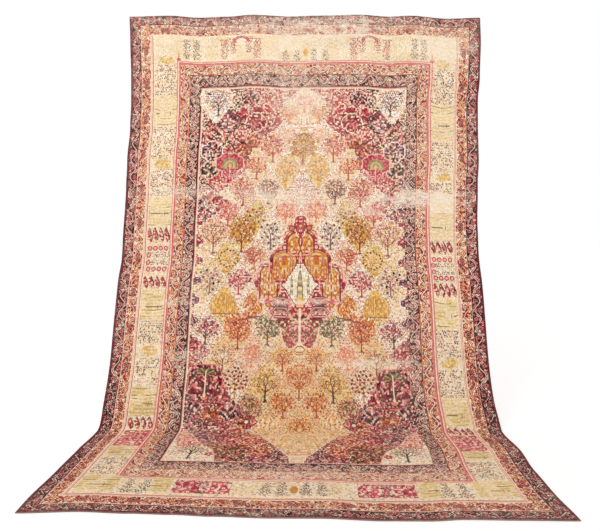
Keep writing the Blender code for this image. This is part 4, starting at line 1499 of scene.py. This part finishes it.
def group(name, inputs, outputs):
    """A shader node group with named sockets: each is (name, kind, default)."""
    made = bpy.data.node_groups.new(name, "ShaderNodeTree")
    for label, kind, default in inputs:
        socket = made.interface.new_socket(label, in_out="INPUT", socket_type="NodeSocket" + kind)
        if default is not None:
            socket.default_value = default
    for label, kind in outputs:
        made.interface.new_socket(label, in_out="OUTPUT", socket_type="NodeSocket" + kind)
    return made, made.nodes.new("NodeGroupInput").outputs, made.nodes.new("NodeGroupOutput")


def put_group(tree, made, inputs):
    """Puts a node group into a material and returns its outputs."""
    return put(tree, "Group", inputs, node_tree=made).outputs


def surface_value(tree, name):
    """What an attribute of the piece's own mesh holds."""
    return put(tree, "Attribute", attribute_name=name, attribute_type="GEOMETRY").outputs


def knot_reader():
    """Reads the chart: four face attributes hold four knots each, one row of knots apiece.

    The knot map's remainder by four picks the column through a product with (1 0 0),
    (0 1 0), (0 0 1) or the fourth channel, and the row through a weight of 0 or 1 on each
    attribute.  The whole part of what is read says how far the knot is worn, and the rest is
    its place on the dye ramp.
    """
    tree, given, result = group(
        "knot reader", [("Knots", "Vector", None)], [("Dye", "Float"), ("Bare", "Float")])
    place = put(tree, "SeparateXYZ", {0: given["Knots"]}).outputs
    column = sums(tree, "FLOOR", sums(tree, "MODULO", place[0], float(FACE_KNOTS)))
    row = sums(tree, "FLOOR", sums(tree, "MODULO", place[1], float(FACE_KNOTS)))
    is_column = [sums(tree, "COMPARE", column, float(k), 0.5) for k in range(FACE_KNOTS)]
    chosen = put(tree, "CombineXYZ", dict(enumerate(is_column[:3]))).outputs[0]
    total = 0.0
    for number in range(FACE_KNOTS):
        knots = surface_value(tree, f"knots_{number}")
        first_three = vector_sums(tree, "DOT_PRODUCT", knots["Color"], chosen, out=1)
        whole = sums(tree, "MULTIPLY_ADD", knots["Alpha"], is_column[3], first_three)
        is_row = sums(tree, "COMPARE", row, float(number), 0.5)
        total = sums(tree, "MULTIPLY_ADD", whole, is_row, total)
    worn = sums(tree, "DIVIDE", sums(tree, "FLOOR", total), 3.0)
    feed(tree, result, {"Dye": sums(tree, "FRACT", total), "Bare": worn})
    return tree


def knot_relief():
    """The rounded top of each knot, and a random number of its own.

    Height is the product of two half sines across the knot, with fibre noise laid over it.
    """
    tree, given, result = group(
        "knot relief", [("Knots", "Vector", None)], [("Height", "Float"), ("Luck", "Float")])
    inside = vector_sums(tree, "FRACTION", given["Knots"])
    place = put(tree, "SeparateXYZ", {0: inside}).outputs
    round_x = sums(tree, "SINE", sums(tree, "MULTIPLY", place[0], np.pi))
    round_y = sums(tree, "SINE", sums(tree, "MULTIPLY", place[1], np.pi))
    dome = sums(tree, "POWER", sums(tree, "MULTIPLY", round_x, round_y), 0.5)
    fibre = put(tree, "TexNoise", {"Vector": given["Knots"], "Scale": 2.2, "Detail": 2.0}).outputs[0]
    cell = vector_sums(tree, "FLOOR", given["Knots"])
    luck = put(tree, "TexWhiteNoise", {"Vector": cell}, noise_dimensions="2D").outputs[0]
    height = sums(tree, "ADD", sums(tree, "MULTIPLY", dome, 0.5), sums(tree, "MULTIPLY", fibre, 0.5))
    feed(tree, result, {"Height": sums(tree, "MULTIPLY_ADD", luck, 0.25, height), "Luck": luck})
    return tree


TUFT_SHARE = 3.2           # how much a tuft's tone counts beside a knot's own
LOT_SHARE = 0.35           # how much the dye lots change the tone


def aged_wool():
    """Wool as it has aged: uneven dye lots, fading by light, dust, and wool gone from knots.

    Each knot's tone is its own luck, shared in part by the tuft of knots round it, times the
    unevenness, over the slow change from one lot of dyed wool to the next.
    """
    tree, given, result = group(
        "aged wool",
        [("Dyed", "Color", (1, 1, 1, 1)), ("Knots", "Vector", None), ("Luck", "Float", 0.5),
         ("Bare", "Float", 0.0), ("Faded", "Float", 0.0), ("Dusty", "Float", 0.0),
         ("Faded Colour", "Color", (1, 1, 1, 1)), ("Cotton", "Color", (1, 1, 1, 1)),
         ("Dust", "Color", (1, 1, 1, 1)), ("Unevenness", "Float", 0.16)],
        [("Color", "Color")])

    def drifting(per_knot, detail, roughness=0.5):
        """Noise over the cloth, from how much of it passes in one knot across and along."""
        place = vector_sums(tree, "MULTIPLY", given["Knots"], (*per_knot, 1.0))
        return put(tree, "TexNoise", {"Vector": place, "Scale": 1.0, "Detail": detail,
                                      "Roughness": roughness}).outputs[0]

    lot = drifting((0.004, 0.045), 3.0)
    cloud = drifting((0.05, 0.05), 3.0, 0.65)
    tuft = drifting((0.21, 0.17), 1.0)
    luck = sums(tree, "MULTIPLY_ADD", sums(tree, "SUBTRACT", tuft, 0.5), TUFT_SHARE, given["Luck"])
    own = sums(tree, "MULTIPLY", sums(tree, "SUBTRACT", luck, 0.5), given["Unevenness"])
    lots = sums(tree, "MULTIPLY", sums(tree, "SUBTRACT", lot, 0.5), LOT_SHARE)
    bright = sums(tree, "ADD", sums(tree, "ADD", own, lots), 1.0)
    toned = put(tree, "VectorMath", {0: given["Dyed"], "Scale": bright}, operation="SCALE").outputs[0]
    fade = sums(tree, "MULTIPLY", given["Faded"], eased_share(tree, cloud, 0.25, 0.7), clamp=True)
    color = mixed(tree, fade, toned, given["Faded Colour"])
    color = mixed(tree, given["Bare"], color, given["Cotton"])
    color = mixed(tree, given["Dusty"], color, given["Dust"], "MULTIPLY")
    feed(tree, result, {"Color": color})
    return tree


KNOT_READER = knot_reader()
KNOT_RELIEF = knot_relief()
AGED_WOOL = aged_wool()
COTTON_SHOWS = 0.80        # share of cotton seen on a knot that is worn right down
COTTON = (253, 240, 220)
FADED_WOOL = (250, 224, 200)
DUST = (220, 192, 162)
BACK_VEIL = (214, 196, 176)
RAMP_STEPS = 32.0          # places on the dye ramp, a few more than there are dyes


def new_material(name):
    """A material, with its node tree and its Principled shader."""
    material = bpy.data.materials.new(name)
    material.use_nodes = True
    return material, material.node_tree, material.node_tree.nodes["Principled BSDF"]


def add_object(name, data):
    """An object that holds a mesh, a lamp or a camera, placed in the scene."""
    made = bpy.data.objects.new(name, data)
    bpy.context.scene.collection.objects.link(made)
    return made


def wool_material(name, unevenness, relief, roughness, veil=0.0):
    """Dyed knots read from the chart, aged, with the relief of the knots as bump."""
    material, tree, shader = new_material(name)
    knots = put(tree, "UVMap", uv_map="Knots").outputs[0]
    form = put_group(tree, KNOT_RELIEF, {"Knots": knots})
    knot = put_group(tree, KNOT_READER, {"Knots": knots})
    ramp = put(tree, "ValToRGB", {0: knot["Dye"]})
    stops = ramp.color_ramp
    stops.interpolation = "CONSTANT"
    for number, row in enumerate(DYES):
        place = number / RAMP_STEPS
        stop = stops.elements[number] if number < 2 else stops.elements.new(place)
        stop.position = place
        stop.color = shade(row.red, row.green, row.blue)
    shares = put(tree, "SeparateColor", {0: surface_value(tree, "age")["Color"]}).outputs
    color = put_group(tree, AGED_WOOL, {
        "Dyed": ramp.outputs[0], "Knots": knots, "Luck": form["Luck"], "Faded": shares[1],
        "Bare": sums(tree, "MULTIPLY", knot["Bare"], COTTON_SHOWS), "Dusty": shares[2],
        "Faded Colour": shade(*FADED_WOOL), "Cotton": shade(*COTTON), "Dust": shade(*DUST),
        "Unevenness": unevenness})["Color"]
    if veil:
        color = mixed(tree, veil, color, shade(*BACK_VEIL))
    rough = sums(tree, "MULTIPLY_ADD", form["Luck"], 0.1, roughness - 0.05)
    bump = put(tree, "Bump", {"Strength": 0.45, "Distance": relief, "Height": form["Height"]})
    feed(tree, shader, {
        "Base Color": color, "Roughness": rough, "Normal": bump.outputs[0], "Sheen Weight": 0.03,
        "Sheen Roughness": 0.6, "Specular IOR Level": 0.1})
    return material


def lane_map(share, run, lanes):
    """Bake map for a long narrow piece: its length is cut into lanes that lie side by side.

    share and run are 0..1 across and along at each face's corners; a face's lane is the one
    in which it starts, so that no face is torn between two lanes.
    """
    lane = np.minimum(np.floor(run.min(axis=1) * lanes + 1e-4), lanes - 1)[:, None]
    bake_u = (lane + 0.02 + 0.96 * share) / lanes
    bake_v = 0.005 + 0.99 * np.clip(1.0 - (run * lanes - lane) / 1.02, 0.0, 1.0)
    return np.stack((bake_u, bake_v), axis=-1).astype(np.float32)


def sheet_of_cloth(name, columns, rows, lift, material, lanes=1, rim=0.0):
    """A grid of the cloth from one face column and row to another, with its knots and maps.

    The knot map counts knots across and along.  With a rim the sheet is the back: it faces
    away from the pile, has no worn knots, and one more row of faces on each side turns up by
    the rim's height to meet the pile; the four corner faces, which have no size, are left out.
    """
    column = np.arange(columns[0], columns[1] + 1)
    row = np.arange(rows[0], rows[1] + 1)
    if rim:
        column = np.pad(column, 1, mode="edge")
        row = np.pad(row, 1, mode="edge")
    across, along = np.meshgrid(column / FACE_COLUMNS, row / FACE_ROWS)
    height = np.full(across.shape, lift)
    index = np.arange(across.size).reshape(across.shape)
    if rim:
        height[[0, -1], :] = lift + rim
        height[:, [0, -1]] = lift + rim
        index[[0, 0, -1, -1], [1, -2, 1, -2]] = index[[1, 1, -2, -2], [0, -1, 0, -1]]
    points = cloth_points(across, along, height).reshape(-1, 3)
    corners = np.stack((index[:-1, :-1], index[1:, :-1], index[1:, 1:], index[:-1, 1:]), axis=-1)
    kept = np.ones(corners.shape[:2], bool)
    if rim:
        kept[[0, 0, -1, -1], [0, -1, 0, -1]] = False
        corners = corners[..., ::-1]
    corners = corners[kept]
    used, packed = np.unique(corners, return_inverse=True)
    mesh = bpy.data.meshes.new(name)
    mesh.from_pydata(points[used], [], packed.reshape(-1, 4))
    mesh.shade_smooth()

    wide = across.shape[1]
    corner_column = column[corners % wide].astype(np.float32)
    corner_row = row[corners // wide].astype(np.float32)
    knots = np.stack((corner_column * FACE_KNOTS, corner_row * FACE_KNOTS), axis=-1)
    mesh.uv_layers.new(name="Knots").uv.foreach_set("vector", knots.ravel())
    share = (corner_column - columns[0]) / (columns[1] - columns[0])
    run = (corner_row - rows[0]) / (rows[1] - rows[0])
    if lanes > 1 and columns[1] - columns[0] > rows[1] - rows[0]:
        share, run = run, share
    mesh.uv_layers.new(name="OFBake").uv.foreach_set("vector", lane_map(share, run, lanes).ravel())

    # The four knots by four knots of each face, as four face attributes of one knot row each.
    face_column = np.clip(column[:-1], columns[0], columns[1] - 1)
    face_row = np.clip(row[:-1], rows[0], rows[1] - 1)
    places = (chart + 0.5) / RAMP_STEPS + (0.0 if rim else BARED)
    blocks = places.reshape(FACE_ROWS, FACE_KNOTS, FACE_COLUMNS, FACE_KNOTS).astype(np.float32)
    blocks = blocks[face_row][:, :, face_column]
    for number in range(FACE_KNOTS):
        layer = mesh.attributes.new(f"knots_{number}", "FLOAT_COLOR", "FACE")
        layer.data.foreach_set("color", blocks[:, number][kept].ravel())
    age = mesh.attributes.new("age", "FLOAT_COLOR", "POINT")
    spots = ages((across - 0.5) * RUG_WIDTH, along * RUG_LENGTH).reshape(-1, 4)[used]
    age.data.foreach_set("color", spots.ravel())
    mesh.materials.append(material)
    return add_object(name, mesh)


PILE = wool_material("worn wool pile", 0.26, 0.0012, 0.92)
FIELD_COLUMNS = (51, 199)
FIELD_ROWS = (52, 330)
Zone = namedtuple("Zone", "name columns rows lanes held")
ZONES = (
    Zone("pile_field", FIELD_COLUMNS, FIELD_ROWS, 1, "hung"),
    Zone("pile_left_border", (0, FIELD_COLUMNS[0]), FIELD_ROWS, 3, "hung"),
    Zone("pile_right_border", (FIELD_COLUMNS[1], FACE_COLUMNS), FIELD_ROWS, 3, "hung"),
    Zone("pile_top_border", (0, FACE_COLUMNS), (0, FIELD_ROWS[0]), 3, "hung"),
    Zone("pile_front_border", (0, FACE_COLUMNS), (FIELD_ROWS[1], FACE_ROWS), 3, "laid"),
)
for zone in ZONES:
    piece = sheet_of_cloth(zone.name, zone.columns, zone.rows, RUG_THICKNESS, PILE, zone.lanes)
    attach(piece, "root")
    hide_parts("rug")

# ================================================================================= back
# The back of the same cloth: the knots' collars round the cotton warps, duller and less
# faded than the pile, closed at the ends and sides against the pile.

BACK = wool_material("back of the knots", 0.14, 0.0006, 0.96, veil=0.25)
piece = sheet_of_cloth("ground_back", (0, FACE_COLUMNS), (0, FACE_ROWS), 0.0, BACK, rim=RUG_THICKNESS)
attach(piece, "root")
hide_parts("rug")

# =========================================================================== side cords
# The sides are overcast: plum wool is wound over the outermost warps, in close slanting turns
# that wear and show a redder strand here and there, from the hung end to the front end.

CORD_RADIUS = 0.0031
JOIN_GAP = 0.0003
CORD_RINGS = 2000
CORD_SIDES = 8
CORD_LANES = 24             # lanes of the cord's bake map
WOUND_TURN = 0.0085         # length of cord that one visible turn of the wool takes
TURN_SWELL = 0.07           # share of the radius by which a turn stands proud of its groove
CORD_PLUM = (96, 30, 52)
CORD_RED = (150, 60, 74)
CORD_WORN = (206, 160, 150)
# The groove colour is painted shade for the grooves between the turns.
CORD_GROOVE_SHADE = (52, 20, 34)
CORD_FIBRE = (190, 130, 128)


def wound_cord(name, side):
    """A tube along one side of the cloth, -1 left and +1 right, closed at both ends.

    Its middle is the edge of the cloth at half its thickness, moved out by the radius and the
    gap.  The radius follows a cosine of the length plus the angle, which winds like the wool.
    The turns map holds the share round the cord and the length along it in metres.
    """
    along = np.linspace(0.0, 1.0, CORD_RINGS + 1)
    across = np.full_like(along, 0.5 + 0.5 * side)
    middle = cloth_points(across, along, RUG_THICKNESS / 2)
    middle[:, 0] += side * (CORD_RADIUS + JOIN_GAP)
    tangent = np.gradient(middle, axis=0)
    tangent /= np.linalg.norm(tangent, axis=1, keepdims=True)
    outward = np.array((1.0, 0.0, 0.0)) - tangent * tangent[:, :1]
    outward /= np.linalg.norm(outward, axis=1, keepdims=True)
    upward = np.cross(outward, tangent)
    length = along[:, None] * RUG_LENGTH
    turn = 2.0 * np.pi * np.arange(CORD_SIDES) / CORD_SIDES
    wind = np.cos(2.0 * np.pi * length / WOUND_TURN + turn)
    radius = CORD_RADIUS * (1.0 - 0.5 * TURN_SWELL + 0.5 * TURN_SWELL * wind)
    spokes = (outward[:, None, :] * np.cos(turn)[None, :, None]
              + upward[:, None, :] * np.sin(turn)[None, :, None])
    points = middle[:, None, :] + spokes * radius[..., None]
    index = np.arange(points.shape[0] * CORD_SIDES).reshape(-1, CORD_SIDES)
    after = np.roll(index, -1, axis=1)
    faces = np.stack((index[:-1], index[1:], after[1:], after[:-1]), axis=-1).reshape(-1, 4)
    caps = [list(index[0]), list(index[-1][::-1])]
    mesh = bpy.data.meshes.new(name)
    mesh.from_pydata(points.reshape(-1, 3), [], faces.tolist() + caps)
    mesh.shade_smooth()

    corners = np.tile([(0, 0), (0, 1), (1, 1), (1, 0)], (len(faces), 1, 1)).astype(np.float32)
    number = np.arange(len(faces))[:, None]
    share = (number % CORD_SIDES + corners[..., 0]) / CORD_SIDES
    run = (number // CORD_SIDES + corners[..., 1]) / CORD_RINGS
    turns = np.stack((share, run * RUG_LENGTH), axis=-1).reshape(-1, 2)
    ends = np.zeros((2 * CORD_SIDES, 2), dtype=np.float32)
    mesh.uv_layers.new(name="Turns").uv.foreach_set("vector", np.concatenate((turns, ends)).ravel())
    bake = np.concatenate((lane_map(share, run, CORD_LANES).reshape(-1, 2), ends))
    mesh.uv_layers.new(name="OFBake").uv.foreach_set("vector", bake.astype(np.float32).ravel())
    return add_object(name, mesh)


def overcast_wool():
    """Plum wool in slanting turns, each with its own tone; the grooves between turns get painted shade."""
    material, tree, shader = new_material("overcast wool")
    place = put(tree, "SeparateXYZ", {0: put(tree, "UVMap", uv_map="Turns").outputs[0]}).outputs
    wound = sums(tree, "ADD", sums(tree, "DIVIDE", place[1], WOUND_TURN), place[0])
    number = sums(tree, "FLOOR", wound)
    inside = sums(tree, "FRACT", wound)
    own = put(tree, "TexWhiteNoise", {"W": number}, noise_dimensions="1D").outputs[0]
    fibre = put(tree, "TexNoise", {"W": sums(tree, "MULTIPLY", wound, 9.0), "Scale": 1.0, "Detail": 2.0},
                noise_dimensions="1D").outputs[0]
    ridge = sums(tree, "SINE", sums(tree, "MULTIPLY", inside, np.pi))
    color = mixed(tree, own, shade(*CORD_PLUM), shade(*CORD_RED))
    color = mixed(tree, eased_share(tree, own, 0.86, 0.95), color, shade(*CORD_WORN))
    # Painted shade: the colour darkens into the grooves between the turns, where the ridge is low.
    color = mixed(tree, eased_share(tree, ridge, 0.0, 0.5), shade(*CORD_GROOVE_SHADE), color)
    color = mixed(tree, sums(tree, "MULTIPLY", fibre, 0.35), color, shade(*CORD_FIBRE))
    height = sums(tree, "MULTIPLY_ADD", fibre, 0.3, ridge)
    bump = put(tree, "Bump", {"Strength": 0.5, "Distance": 0.0006, "Height": height})
    feed(tree, shader, {"Base Color": color, "Roughness": sums(tree, "MULTIPLY_ADD", own, 0.1, 0.82),
                        "Normal": bump.outputs[0]})
    return material


OVERCAST = overcast_wool()
for name, side in (("overcast_left", -1), ("overcast_right", 1)):
    cord = wound_cord(name, side)
    cord.data.materials.append(OVERCAST)
    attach(cord, "root")
    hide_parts("selvedge_left" if side < 0 else "selvedge_right")

# =================================================================== floor, light, camera
# A plain white floor just under the rug and soft studio light from all round, with one warm
# lamp, as for a catalogue, seen by a level camera.

FLOOR_Z = CAD_BOX[0][2]
FLOOR_HALF = 30.0
FLOOR_CLEARANCE = 0.0004
FLOOR_GLOW = 0.30
floor_top = FLOOR_Z - FLOOR_CLEARANCE
floor_mesh = bpy.data.meshes.new("floor")
floor_mesh.from_pydata(
    [(FLOOR_HALF * x, FLOOR_HALF * y, floor_top) for x, y in ((-1, -1), (1, -1), (1, 1), (-1, 1))],
    [], [(0, 1, 2, 3)])
paint, tree, shader = new_material("white floor")
feed(tree, shader, {
    "Base Color": (0.92, 0.92, 0.92, 1), "Roughness": 0.9, "Specular IOR Level": 0.1,
    "Emission Color": (1, 1, 1, 1), "Emission Strength": FLOOR_GLOW})
floor_mesh.materials.append(paint)
floor = add_object("floor", floor_mesh)

# The studio's walls light the rug evenly, and look white behind it.
WALL_LIGHT = 0.77
WALL_SEEN = 1.0
world = bpy.data.worlds.new("studio")
bpy.context.scene.world = world
world.use_nodes = True
tree = world.node_tree
seen = put(tree, "LightPath").outputs["Is Camera Ray"]
level = put(tree, "MapRange", {0: seen, 3: WALL_LIGHT, 4: WALL_SEEN}).outputs[0]
feed(tree, tree.nodes["Background"], {"Color": (1, 1, 1, 1), "Strength": level})

# One warm soft lamp stands low on the left, in front of the rug.
LAMP_SIDE = 3.0
LAMP_WATTS = 75
LAMP_PLACE = (-3.5, -5.5, 1.6)
LAMP_TURNS = (62.0, 0.0, -32.5)
lamp = bpy.data.lights.new("key", "AREA")
lamp.size = LAMP_SIDE
lamp.energy = LAMP_WATTS
lamp.color = (1.0, 0.94, 0.86)
key = add_object("key", lamp)
key.location = LAMP_PLACE
key.rotation_euler = np.radians(LAMP_TURNS)

# The camera stands level before the rug; its lens and shift are those of the photograph.
CAMERA_AWAY = 4.3508
CAMERA_UP = 1.5394
FOCAL_PIXELS = 521.755
IMAGE_WIDTH = 600
IMAGE_HEIGHT = 531
HORIZON_PIXEL = 217.886
SENSOR = 36.0
view = bpy.data.cameras.new("camera")
view.sensor_width = SENSOR
view.lens = FOCAL_PIXELS * SENSOR / IMAGE_WIDTH
view.shift_y = (HORIZON_PIXEL - IMAGE_HEIGHT / 2) / IMAGE_WIDTH
camera = add_object("camera", view)
camera.location = (0.0, -CAMERA_AWAY, FLOOR_Z + CAMERA_UP)
camera.rotation_euler = (np.pi / 2, 0.0, 0.0)
bpy.context.scene.camera = camera
bpy.context.scene.view_settings.view_transform = "Standard"
